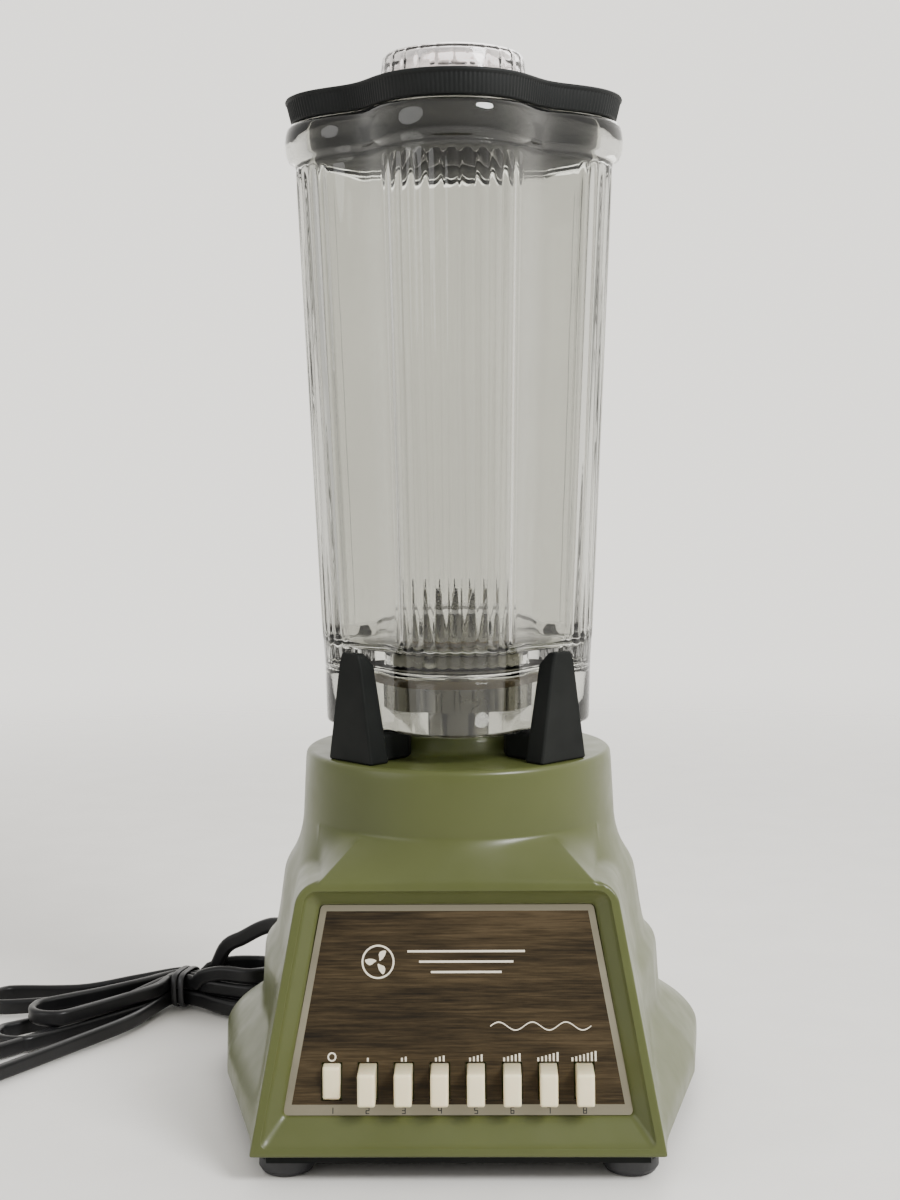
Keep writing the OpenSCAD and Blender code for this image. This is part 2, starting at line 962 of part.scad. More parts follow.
module lid_cap() {
    seat = jar_top + lid_h;
    top = seat + cap_h;
    cup_depth = 13;
    color([0.9, 0.87, 0.88, 0.6])
        rotate_extrude()
            polygon([[0, top - 2.4], [0, top], [18, top - 0.2], [24.5, top - 1], [26.7, top - 2.6],
                [28.3, seat + 1], [28, seat], [24.4, seat], [23.6, jar_top - cup_depth],
                [21.6, jar_top - cup_depth], [22.4, seat - 1], [24.6, seat + 2], [24.2, top - 3.6],
                [20, top - 2.6]]);
}

// ---- Assembly ----

housing();
panel_plate();
panel_inlay();
switch_body();
bottom_plate();
bottom_screws();
speed_module();
strain_relief();
power_cord();
cord_hank();
cord_tie();
power_plug();
stator_core();
field_coils();
bracket_upper();
bracket_lower();
motor_bolts();
motor_bearing(103);  // motor_bearing_upper
motor_bearing(44);  // motor_bearing_lower
brush_holders();
brushes();
motor_shaft();
armature_core();
armature_winding();
commutator();
cooling_fan();
drive_coupling();
jar_glass();
jar_gasket_inner();
jar_gasket_outer();
jar_retaining_nut();
bearing_housing();
jar_bearing(170);  // jar_bearing_upper
jar_bearing(143);  // jar_bearing_lower
shaft_seal();
blade_shaft();
drive_stud();
blade_spacer();
blade_down();
blade_up();
blade_nut();
lid();
lid_cap();
for (i = [0:3])
    post(i);
for (i = [0:3])
    foot(i);
for (i = [1:BUTTONS])
    button(i);
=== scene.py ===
import json
import math

import bmesh
import bpy
from mathutils import Matrix, Vector


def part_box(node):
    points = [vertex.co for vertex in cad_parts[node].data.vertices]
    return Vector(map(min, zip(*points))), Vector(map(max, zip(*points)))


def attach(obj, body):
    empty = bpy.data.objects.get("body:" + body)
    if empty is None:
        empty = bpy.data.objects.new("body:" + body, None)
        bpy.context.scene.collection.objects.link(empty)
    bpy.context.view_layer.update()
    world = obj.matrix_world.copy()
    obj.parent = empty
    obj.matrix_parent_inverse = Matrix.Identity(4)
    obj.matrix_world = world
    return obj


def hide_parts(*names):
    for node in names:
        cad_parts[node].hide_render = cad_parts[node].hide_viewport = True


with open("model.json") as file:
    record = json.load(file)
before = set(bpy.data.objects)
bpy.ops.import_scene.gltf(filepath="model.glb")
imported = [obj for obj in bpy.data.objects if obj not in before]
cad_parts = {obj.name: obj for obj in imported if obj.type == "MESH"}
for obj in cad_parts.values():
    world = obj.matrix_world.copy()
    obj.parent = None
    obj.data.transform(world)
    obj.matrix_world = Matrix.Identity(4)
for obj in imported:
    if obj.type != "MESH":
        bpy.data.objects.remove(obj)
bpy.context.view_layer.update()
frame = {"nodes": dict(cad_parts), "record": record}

MM = 0.001
TAU = 2 * math.pi

# The driving sizes of part.scad, in millimetres.
SKIRT_Z, HALF_DEPTH, FRONT_HALF, SIDE_HALF, REAR_R = 9.0, 86.0, 69.0, 93.3, 45.0
SIDE_MID, FLANK_R = 87.8, 30.0
FRAME_TOP, FRAME_TOP_HALF, FRAME_LEAN = 95.0, 54.0, math.radians(12.9)
COLLAR_TOP, COLLAR_R, COLLAR_FOOT_R = 131.0, 57.0, 58.5
RIM_W, PANEL_DEPTH, PANEL_T = 3.1, 5.85, 1.2
PANEL_HALF, PANEL_TOP_HALF, PANEL_LOW, PANEL_HIGH = 58.4, 46.8, 12.6, 80.8
BUTTON_PITCH, BUTTON_ROW, BUTTON_W, BUTTON_H = 12.1, 23.4, 6.0, 11.0
BUTTON_OUT, BUTTON_TRAVEL, BUTTONS = 10.0, 7.5, 8
RING_R, RING_H = 25.5, 7.0
JAR_Z, JAR_TOP, FLOOR_Z, FLOOR_T = 141.0, 364.0, 169.0, 6.0
JAR_LOW_R, JAR_BODY_R, JAR_HIGH_R, BEAD_R, GLASS_T = 49.3, 50.3, 59.5, 63.6, 4.4
LID_H, LID_R, PLUG_DEPTH, FILLER_R, CAP_H = 9.5, 63.4, 13.3, 25.0, 18.0
FLEX_W, FLEX_T = 6.4, 3.4


# ---------------------------------------------------------------- camera

CAMERA_PLACE = (0.009, -0.677, 0.242)
CAMERA_YAW, CAMERA_ROLL = 0.955, -0.44


def make_camera():
    """Level camera in front of the object at the photograph's distance and height."""
    data = bpy.data.cameras.new("photo_camera")
    data.sensor_width = 36.0
    data.lens = 53.9
    data.shift_y = -0.125
    data.clip_end = 20
    camera = bpy.data.objects.new("photo_camera", data)
    bpy.context.scene.collection.objects.link(camera)
    turn = Matrix.Rotation(math.radians(CAMERA_YAW), 4, "Z") @ Matrix.Rotation(math.radians(90), 4, "X")
    roll = Matrix.Rotation(math.radians(CAMERA_ROLL), 4, "Z")
    camera.matrix_world = Matrix.Translation(CAMERA_PLACE) @ turn @ roll
    bpy.context.scene.camera = camera


# ---------------------------------------------------------------- mesh helpers

def add_mesh(name, points, faces, material=None, smooth=True, scale=MM):
    """New mesh object from points in millimetres."""
    mesh = bpy.data.meshes.new(name)
    mesh.from_pydata([tuple(c * scale for c in p) for p in points], [], faces)
    mesh.validate()
    mesh.polygons.foreach_set("use_smooth", [smooth] * len(mesh.polygons))
    if material:
        mesh.materials.append(material)
    obj = bpy.data.objects.new(name, mesh)
    bpy.context.scene.collection.objects.link(obj)
    return obj


def ring_faces(rings, count, loop=False, caps=True):
    """Quads between successive rings of count points; loop joins the last ring to the first."""
    faces = []
    last = rings if loop else rings - 1
    for j in range(last):
        a0, b0 = j * count, ((j + 1) % rings) * count
        for i in range(count):
            k = (i + 1) % count
            faces.append((a0 + i, a0 + k, b0 + k, b0 + i))
    if caps and not loop:
        faces.append(tuple(range(count - 1, -1, -1)))
        faces.append(tuple((rings - 1) * count + i for i in range(count)))
    return faces


def face_out(obj):
    """Makes every normal of a closed mesh point outwards."""
    bm = bmesh.new()
    bm.from_mesh(obj.data)
    bmesh.ops.recalc_face_normals(bm, faces=bm.faces)
    bm.to_mesh(obj.data)
    bm.free()


def lofted(name, rings, material, loop=False, caps=True):
    """Closed body through rings of points."""
    count = len(rings[0])
    points = [p for ring in rings for p in ring]
    obj = add_mesh(name, points, ring_faces(len(rings), count, loop, caps), material)
    face_out(obj)
    return obj


def bevel(obj, width, segments=3, angle=35):
    """Rounds the sharp edges for good, with even shading."""
    mod = obj.modifiers.new("rounding", "BEVEL")
    mod.width = width * MM
    mod.segments = segments
    mod.limit_method = "ANGLE"
    mod.angle_limit = math.radians(angle)
    mod.harden_normals = True
    apply_modifiers(obj)


def apply_modifiers(obj):
    """Replaces the mesh by what its modifiers make of it."""
    graph = bpy.context.evaluated_depsgraph_get()
    mesh = bpy.data.meshes.new_from_object(obj.evaluated_get(graph), depsgraph=graph)
    obj.modifiers.clear()
    obj.data = mesh


def cut(obj, cutter):
    """Takes the cutter out of the body, then drops the cutter."""
    mod = obj.modifiers.new("cut", "BOOLEAN")
    mod.object = cutter
    mod.operation = "DIFFERENCE"
    mod.solver = "EXACT"
    bpy.context.view_layer.update()
    apply_modifiers(obj)
    bpy.data.objects.remove(cutter, do_unlink=True)


def finish_piece(obj, body, slot, *nodes):
    """Rides the piece on its body and hides the CAD nodes it stands for; slot is not used."""
    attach(obj, body)
    if nodes:
        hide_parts(*nodes)
    return obj


def smooth_path(points, step):
    """Catmull-Rom curve through the points, resampled at an even step."""
    dense = []
    n = len(points)
    for i in range(n - 1):
        p0, p1, p2, p3 = (points[max(i - 1, 0)], points[i], points[i + 1], points[min(i + 2, n - 1)])
        for j in range(24):
            t = j / 24
            dense.append(0.5 * (2 * p1 + (p2 - p0) * t + (2 * p0 - 5 * p1 + 4 * p2 - p3) * t * t
                                + (3 * p1 - p0 - 3 * p2 + p3) * t ** 3))
    dense.append(points[-1])
    lengths = [0.0]
    for a, b in zip(dense, dense[1:]):
        lengths.append(lengths[-1] + (b - a).length)
    total = lengths[-1]
    count = max(2, round(total / step))
    out, k = [], 0
    for i in range(count + 1):
        want = total * i / count
        while k < len(dense) - 2 and lengths[k + 1] < want:
            k += 1
        span = max(lengths[k + 1] - lengths[k], 1e-9)
        out.append(dense[k].lerp(dense[k + 1], (want - lengths[k]) / span))
    return out, total


def swept(name, path, section, material, upright=Vector((0, 0, 1))):
    """Tube with the given (up, side) section along the path, closed at both ends."""
    rings = []
    for i, p in enumerate(path):
        along = (path[min(i + 1, len(path) - 1)] - path[max(i - 1, 0)]).normalized()
        side = along.cross(upright).normalized()
        up = side.cross(along)
        rings.append([tuple(p + up * u + side * s) for u, s in section])
    return lofted(name, rings, material)


# ---------------------------------------------------------------- materials

def node_of(tree, kind, **inputs):
    node = tree.nodes.new(kind)
    for key, value in inputs.items():
        node.inputs[key.replace("_", " ")].default_value = value
    return node


def colour_ramp(tree, factor, stops):
    ramp = tree.nodes.new("ShaderNodeValToRGB")
    ramp.color_ramp.elements[0].position = stops[0][0]
    ramp.color_ramp.elements[0].color = (*stops[0][1], 1)
    ramp.color_ramp.elements[1].position = stops[-1][0]
    ramp.color_ramp.elements[1].color = (*stops[-1][1], 1)
    for position, colour in stops[1:-1]:
        element = ramp.color_ramp.elements.new(position)
        element.color = (*colour, 1)
    tree.links.new(factor, ramp.inputs["Fac"])
    return ramp.outputs["Color"]


def spread(tree, factor, low, high):
    """Maps a noise value onto the range low to high."""
    node = tree.nodes.new("ShaderNodeMapRange")
    node.inputs["From Min"].default_value = 0.3
    node.inputs["From Max"].default_value = 0.7
    node.inputs["To Min"].default_value = low
    node.inputs["To Max"].default_value = high
    tree.links.new(factor, node.inputs["Value"])
    return node.outputs["Result"]


def position_of(tree, stretch=(1, 1, 1)):
    """Coordinates on the piece itself, stretched per axis."""
    coords = tree.nodes.new("ShaderNodeTexCoord")
    mapping = tree.nodes.new("ShaderNodeMapping")
    mapping.inputs["Scale"].default_value = stretch
    tree.links.new(coords.outputs["Object"], mapping.inputs["Vector"])
    return mapping.outputs["Vector"]


def noise(tree, vector, scale, detail=3.0, rough=0.5):
    node = node_of(tree, "ShaderNodeTexNoise", Scale=scale, Detail=detail, Roughness=rough)
    tree.links.new(vector, node.inputs["Vector"])
    return node.outputs["Fac"]


def bump(tree, shader, height, strength, distance, under=None):
    node = tree.nodes.new("ShaderNodeBump")
    node.inputs["Strength"].default_value = strength
    node.inputs["Distance"].default_value = distance
    tree.links.new(height, node.inputs["Height"])
    if under:
        tree.links.new(under, node.inputs["Normal"])
    tree.links.new(node.outputs["Normal"], shader.inputs["Normal"])
    return node.outputs["Normal"]


def material(name, shade, shade2, rough, grain=400.0, relief=0.2, depth=0.00005, stretch=(1, 1, 1), **facts):
    """Procedural finish: two close shades and a roughness that drift over the piece, and a fine relief."""
    mat = bpy.data.materials.new(name)
    mat.use_nodes = True
    tree = mat.node_tree
    shader = tree.nodes["Principled BSDF"]
    for key, value in facts.items():
        shader.inputs[key.replace("_", " ")].default_value = value
    place = position_of(tree, stretch)
    drift = noise(tree, place, 28.0, 4.0)
    tree.links.new(colour_ramp(tree, drift, [(0.35, shade), (0.65, shade2)]), shader.inputs["Base Color"])
    tree.links.new(spread(tree, noise(tree, place, 90.0), *rough), shader.inputs["Roughness"])
    bump(tree, shader, noise(tree, place, grain), relief, depth)
    return mat


def wood_print():
    """Printed walnut: fine horizontal streaks with a few dark bands, under a satin coat."""
    mat = bpy.data.materials.new("walnut_print")
    mat.use_nodes = True
    tree = mat.node_tree
    shader = tree.nodes["Principled BSDF"]
    bands = noise(tree, position_of(tree, (6, 60, 60)), 2.2, 5.0, 0.6)
    streaks = noise(tree, position_of(tree, (18, 420, 420)), 3.0, 6.0, 0.7)
    mix = tree.nodes.new("ShaderNodeMath")
    mix.operation = "MULTIPLY_ADD"
    tree.links.new(streaks, mix.inputs[0])
    mix.inputs[1].default_value = 0.55
    half = tree.nodes.new("ShaderNodeMath")
    half.operation = "MULTIPLY"
    tree.links.new(bands, half.inputs[0])
    half.inputs[1].default_value = 0.5
    tree.links.new(half.outputs[0], mix.inputs[2])
    colour = colour_ramp(tree, mix.outputs[0], [
        (0.38, (0.006, 0.004, 0.0015)), (0.48, (0.022, 0.0145, 0.006)), (0.56, (0.04, 0.027, 0.012)),
        (0.66, (0.065, 0.045, 0.022))])
    tree.links.new(colour, shader.inputs["Base Color"])
    shader.inputs["Specular IOR Level"].default_value = 0.2
    tree.links.new(spread(tree, streaks, 0.4, 0.52), shader.inputs["Roughness"])
    bump(tree, shader, streaks, 0.12, 0.00005)
    return mat


def glass_finish():
    """Clear pressed glass with faint waves in its thickness."""
    mat = bpy.data.materials.new("jar_glass")
    mat.use_nodes = True
    tree = mat.node_tree
    shader = tree.nodes["Principled BSDF"]
    shader.inputs["IOR"].default_value = 1.5
    shader.inputs["Transmission Weight"].default_value = 1.0
    place = position_of(tree)
    tint = colour_ramp(tree, noise(tree, place, 12.0), [
        (0.3, (0.62, 0.62, 0.58)), (0.7, (0.66, 0.66, 0.62))])
    tree.links.new(tint, shader.inputs["Base Color"])
    tree.links.new(spread(tree, noise(tree, place, 60.0), 0.015, 0.04), shader.inputs["Roughness"])
    bump(tree, shader, noise(tree, position_of(tree, (1, 1, 0.35)), 55.0, 2.0), 0.25, 0.0006)
    return mat


def housing_finish():
    """Satin avocado green moulding."""
    return material("green_plastic", (0.067, 0.077, 0.022), (0.074, 0.085, 0.025), (0.3, 0.4),
                    grain=900.0, relief=0.1, Coat_Weight=0.05, Coat_Roughness=0.2, Specular_IOR_Level=0.35)


MATERIALS = {}


def make_materials():
    """One finish for each material slot of the record."""
    m = MATERIALS
    m["green_plastic"] = housing_finish()
    m["walnut_print"] = wood_print()
    m["jar_glass"] = glass_finish()
    m["aluminium_trim"] = material("aluminium_trim", (0.3, 0.275, 0.2), (0.37, 0.34, 0.255), (0.34, 0.46),
                                   grain=700, relief=0.15, stretch=(0.05, 1, 1), Metallic=1.0)
    m["ivory_plastic"] = material("ivory_plastic", (0.83, 0.73, 0.47), (0.87, 0.77, 0.51), (0.3, 0.4),
                                  grain=700, relief=0.08, Subsurface_Weight=0.08, Subsurface_Scale=0.002)
    m["phenolic"] = material("phenolic", (0.05, 0.036, 0.03), (0.075, 0.055, 0.045), (0.45, 0.6))
    m["black_steel"] = material("black_steel", (0.006, 0.007, 0.0065), (0.01, 0.011, 0.01), (0.5, 0.65),
                                Specular_IOR_Level=0.12)
    m["zinc_steel"] = material("zinc_steel", (0.5, 0.5, 0.49), (0.62, 0.62, 0.62), (0.25, 0.4), Metallic=1.0)
    m["cord_vinyl"] = material("cord_vinyl", (0.006, 0.006, 0.0065), (0.01, 0.01, 0.011), (0.3, 0.42),
                               grain=1200, relief=0.25, Specular_IOR_Level=0.3)
    m["tie_wire"] = material("tie_wire", (0.02, 0.02, 0.022), (0.035, 0.035, 0.038), (0.4, 0.55))
    m["lamination_steel"] = material("lamination_steel", (0.2, 0.2, 0.21), (0.34, 0.34, 0.35), (0.35, 0.5),
                                     grain=90, relief=0.6, depth=0.0002,
                                     stretch=(0.05, 0.05, 22), Metallic=0.9)
    m["copper_winding"] = material("copper_winding", (0.36, 0.12, 0.04), (0.6, 0.24, 0.09), (0.25, 0.4),
                                   grain=120, relief=0.8, depth=0.0004, stretch=(0.3, 0.3, 9), Metallic=0.8,
                                   Coat_Weight=0.6)
    m["cast_aluminium"] = material("cast_aluminium", (0.48, 0.49, 0.5), (0.6, 0.61, 0.62), (0.4, 0.55),
                                   grain=350, relief=0.35, Metallic=0.95)
    m["bearing_steel"] = material("bearing_steel", (0.55, 0.55, 0.57), (0.7, 0.7, 0.72), (0.15, 0.28),
                                  Metallic=1.0)
    m["carbon"] = material("carbon", (0.02, 0.02, 0.02), (0.05, 0.05, 0.05), (0.6, 0.8), relief=0.5)
    m["commutator_copper"] = material("commutator_copper", (0.6, 0.27, 0.13), (0.75, 0.42, 0.22),
                                      (0.2, 0.35),
                                      Metallic=1.0, stretch=(1, 1, 0.05))
    m["white_plastic"] = material("white_plastic", (0.66, 0.66, 0.62), (0.74, 0.74, 0.7), (0.4, 0.5))
    m["coupling_black"] = material("coupling_black", (0.02, 0.02, 0.021), (0.035, 0.035, 0.036), (0.4, 0.55))
    m["gasket_tan"] = material("gasket_tan", (0.1, 0.07, 0.028), (0.15, 0.108, 0.045), (0.45, 0.6),
                               relief=0.3)
    m["nut_plated"] = material("nut_plated", (0.22, 0.215, 0.18), (0.3, 0.295, 0.25), (0.2, 0.34),
                               Metallic=1.0)
    m["black_rubber"] = material("black_rubber", (0.018, 0.018, 0.02), (0.03, 0.03, 0.032), (0.5, 0.68),
                                 grain=1500, relief=0.35)
    m["stainless"] = material("stainless", (0.55, 0.55, 0.55), (0.68, 0.68, 0.69), (0.2, 0.36), grain=500,
                              relief=0.2, stretch=(1, 8, 1), Metallic=1.0)
    m["lid_vinyl"] = material("lid_vinyl", (0.009, 0.01, 0.01), (0.014, 0.015, 0.015), (0.48, 0.62),
                              grain=900, relief=0.3, Specular_IOR_Level=0.15)
    m["cap_clear"] = material("cap_clear", (0.78, 0.745, 0.74), (0.84, 0.805, 0.8), (0.05, 0.12), grain=60,
                              relief=0.1, depth=0.0003, Transmission_Weight=1.0, IOR=1.49)
    m["print_cream"] = material("print_cream", (0.72, 0.66, 0.52), (0.78, 0.72, 0.6), (0.4, 0.5))
    m["print_black"] = material("print_black", (0.015, 0.015, 0.015), (0.03, 0.03, 0.03), (0.4, 0.5))


def dress_cad_nodes():
    """Gives every CAD node that still shows the finish of its slot."""
    slots = {s["node"]: s["material_slot"] for s in frame["record"]["subparts"]}
    for name, obj in frame["nodes"].items():
        mat = MATERIALS[slots[name]]
        if not obj.material_slots:
            obj.data.materials.append(mat)
        for s in obj.material_slots:
            s.material = mat


# ---------------------------------------------------------------- mains lead

# The route of part.scad from the strain relief to the hank.
ROUTE = [(-68, 81, 38), (-74, 89, 38.5), (-81, 96, 38), (-88, 101, 35), (-96, 105, 30),
         (-104, 108, 25)]
# From the hank to the plug.
TAIL = [(-106, 94, 4), (-97, 88.5, 4), (-88, 87.5, 4.5), (-80, 90, 5.5), (-73, 95.5, 6.5)]
TIE = Vector((-122.0, 108.5, 0.0))
TIE_ALONG = Vector((-0.97, 0.24, 0.0)).normalized()
TIE_ACROSS = Vector((0.24, 0.97, 0.0)).normalized()
STRAND_PITCH, STRAND_LOW, STRAND_HIGH = 3.8, 4.6, 11.3


def strand(row, column, along=0.0):
    """Middle of one strand of the bundle, along the bundle from the tie."""
    z = STRAND_HIGH if row else STRAND_LOW
    return TIE + TIE_ACROSS * (column - 1.5) * STRAND_PITCH + TIE_ALONG * along + Vector((0, 0, z))


def fold(enter, leave, tip, turn_r, z, lean=0.0):
    """Points of one turn: out from the tie to the tip and back; turn_r > 0 turns to the left."""
    start, end = strand(*enter), strand(*leave)
    tip = Vector((*tip, 0))
    middle = (start + end) / 2
    reach = Vector((tip.x - middle.x, tip.y - middle.y, 0))
    along = reach.normalized()
    left = Vector((-along.y, along.x, 0))
    size = abs(turn_r)
    hand = 1 if turn_r > 0 else -1
    centre = tip - along * size
    points = []
    for share in (0.3, 0.62):
        spot = middle.lerp(centre, share)
        spot.z = start.z + (z - start.z) * min(1, share * 1.6)
        points.append(spot - left * hand * size * (0.35 + 0.65 * share))
    for k in range(7):
        a = math.pi * (k / 6)
        spot = centre + left * hand * size * -math.cos(a) + along * size * math.sin(a)
        spot.z = z + lean * (0.5 - 0.5 * math.cos(a))
        points.append(spot)
    for share in (0.62, 0.3):
        spot = middle.lerp(centre, share)
        spot.z = end.z + (z + lean - end.z) * min(1, share * 1.6)
        points.append(spot + left * hand * size * (0.35 + 0.65 * share))
    return points


def hank_points():
    """The lead's whole run: exit, the tied hank's turns one after another, and the tail."""
    run = [Vector(p) for p in ROUTE]
    run += [strand(1, 3, -9), strand(1, 3, 4)]
    run += fold((1, 3), (0, 3), (-207, 103), 10.5, 3.5)
    run += [strand(0, 3, 4), strand(0, 3, -8)]
    run += fold((0, 3), (0, 1), (-79, 99), -10.5, 3.5)
    run += [strand(0, 1, -8), strand(0, 1, 4)]
    run += fold((0, 1), (0, 2), (-188, 49), -10.5, 3.5)
    run += [strand(0, 2, 4), strand(0, 2, -8)]
    run += fold((0, 2), (1, 1), (-80, 100), -10.5, 10.2)
    run += [strand(1, 1, -8), strand(1, 1, 4)]
    run += fold((1, 1), (1, 2), (-176, 60), -10.0, 10.2)
    run += [strand(1, 2, 4), strand(1, 2, -8)]
    run += fold((1, 2), (1, 0), (-82, 101), -10.0, 17.0)
    run += [strand(1, 0, -8), strand(1, 0, 4)]
    run += fold((1, 0), (0, 0), (-196, 6), 11.0, 3.5)
    run += [strand(0, 0, 4), strand(0, 0, -8)]
    run += [Vector(p) for p in TAIL]
    return run


def flex_section():
    """Outline of flat twin flex: two round cores with a groove between them."""
    lobe, groove = FLEX_T / 2, 0.28
    offset = FLEX_W / 2 - lobe
    section = []
    for hand in (1, -1):
        for k in range(9):
            a = math.pi * k / 8
            section.append((hand * (offset + lobe * math.sin(a)), hand * lobe * math.cos(a)))
        section.append((0.0, -hand * (lobe - groove)))
    return section


def make_lead():
    path, total = smooth_path(hank_points(), 2.4)
    lead = swept("mains_lead", path, flex_section(), MATERIALS["cord_vinyl"])
    finish_piece(lead, "root", "cord_vinyl", "power_cord", "cord_hank")
    tie = make_tie()
    plug = make_plug()


def make_tie():
    """Two turns of plastic tie round the bundle."""
    half_w, half_h, middle = 8.9, 7.3, (STRAND_LOW + STRAND_HIGH) / 2
    path = []
    steps = 96
    for i in range(steps + 1):
        a = TAU * 2 * i / steps
        slip = (i / steps - 0.5) * 6.5 + 0.8 * math.sin(a)
        power = 0.55
        c, s = math.cos(a), math.sin(a)
        u = math.copysign(abs(c) ** power, c) * half_w
        w = math.copysign(abs(s) ** power, s) * half_h
        path.append(TIE + TIE_ACROSS * u + TIE_ALONG * slip + Vector((0, 0, middle + w)))
    section = [(0.5 * math.sin(TAU * k / 10), 1.3 * math.cos(TAU * k / 10)) for k in range(10)]
    rings = []
    for i, p in enumerate(path):
        along = (path[min(i + 1, steps)] - path[max(i - 1, 0)]).normalized()
        side = TIE_ALONG - along * TIE_ALONG.dot(along)
        side.normalize()
        up = side.cross(along)
        rings.append([tuple(p + up * u + side * s) for u, s in section])
    tie = lofted("cord_wrap", rings, MATERIALS["tie_wire"])
    return finish_piece(tie, "root", "tie_wire", "cord_tie")


def make_plug():
    """Moulded two-blade plug with a ribbed grip."""
    low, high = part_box("power_plug")
    mid_y, half_y = (low[1] + high[1]) / 2 / MM, (high[1] - low[1]) / 2 / MM
    x0, body_end, top = low[0] / MM, low[0] / MM + 27, high[2] / MM
    rings = []
    # distance from the tail, then the share of the full width and height there
    stations = [(0, 0.42, 0.5), (1, 0.48, 0.58), (5, 0.5, 0.6), (9, 0.8, 0.86), (12, 0.94, 0.97),
                (15, 0.9, 0.93), (17, 0.97, 0.99), (19, 0.91, 0.94), (21, 0.99, 1.0), (25, 0.99, 1.0),
                (26.6, 0.94, 0.94), (27, 0.88, 0.86)]
    for x, share_y, share_z in stations:
        ring = []
        for k in range(32):
            a = TAU * k / 32
            c, s = math.cos(a), math.sin(a)
            y = math.copysign(abs(c) ** 0.6, c) * half_y * share_y
            z = math.copysign(abs(s) ** 0.6, s) * top / 2 * share_z
            ring.append((x0 + x, mid_y + y, top / 2 + z))
        rings.append(ring)
    plug = lofted("plug_body", rings, MATERIALS["cord_vinyl"])
    blades = []
    for hand in (-1, 1):
        blade = box_mesh("plug_blade", (body_end - 1, mid_y + hand * 6.35 - 0.75, 3.3),
                         (high[0] / MM, mid_y + hand * 6.35 + 0.75, 9.7), MATERIALS["nut_plated"])
        bevel(blade, 0.5)
        blade.name = "plug_blade_left" if hand > 0 else "plug_blade_right"
        blade.parent = plug
        blades.append(blade)
    return finish_piece(plug, "root", "cord_vinyl", "power_plug")


def box_mesh(name, low, high, mat):
    """Box between two corners."""
    x0, y0, z0 = low
    x1, y1, z1 = high
    points = [(x, y, z) for z in (z0, z1) for y in (y0, y1) for x in (x0, x1)]
    faces = [(0, 2, 3, 1), (4, 5, 7, 6), (0, 1, 5, 4), (2, 6, 7, 3), (0, 4, 6, 2), (1, 3, 7, 5)]
    return add_mesh(name, points, faces, mat)


# ---------------------------------------------------------------- jar

def clover(angle, k):
    """Clover radius as a share of the lobe radius; k = 0 gives a circle."""
    return 1 - k * (0.0878 - 0.1 * math.cos(4 * angle) + 0.0122 * math.cos(8 * angle))


def clover_ring(radius, k, z, count=720, relief=0.0, ribs=11, half_arc=29.0):
    """Ring of the jar; relief adds upright ribs across each lobe."""
    ring = []
    for i in range(count):
        a = TAU * i / count
        r = radius * clover(a, k)
        off = (math.degrees(a) + 45) % 90 - 45
        if relief and abs(off) < half_arc:
            phase = (off / half_arc + 1) / 2 * ribs
            edge = min(1.0, (half_arc - abs(off)) / 2.5)
            r += relief * edge * (abs(math.sin(math.pi * phase)) - 0.6)
        ring.append((r * math.cos(a), r * math.sin(a), z))
    return ring


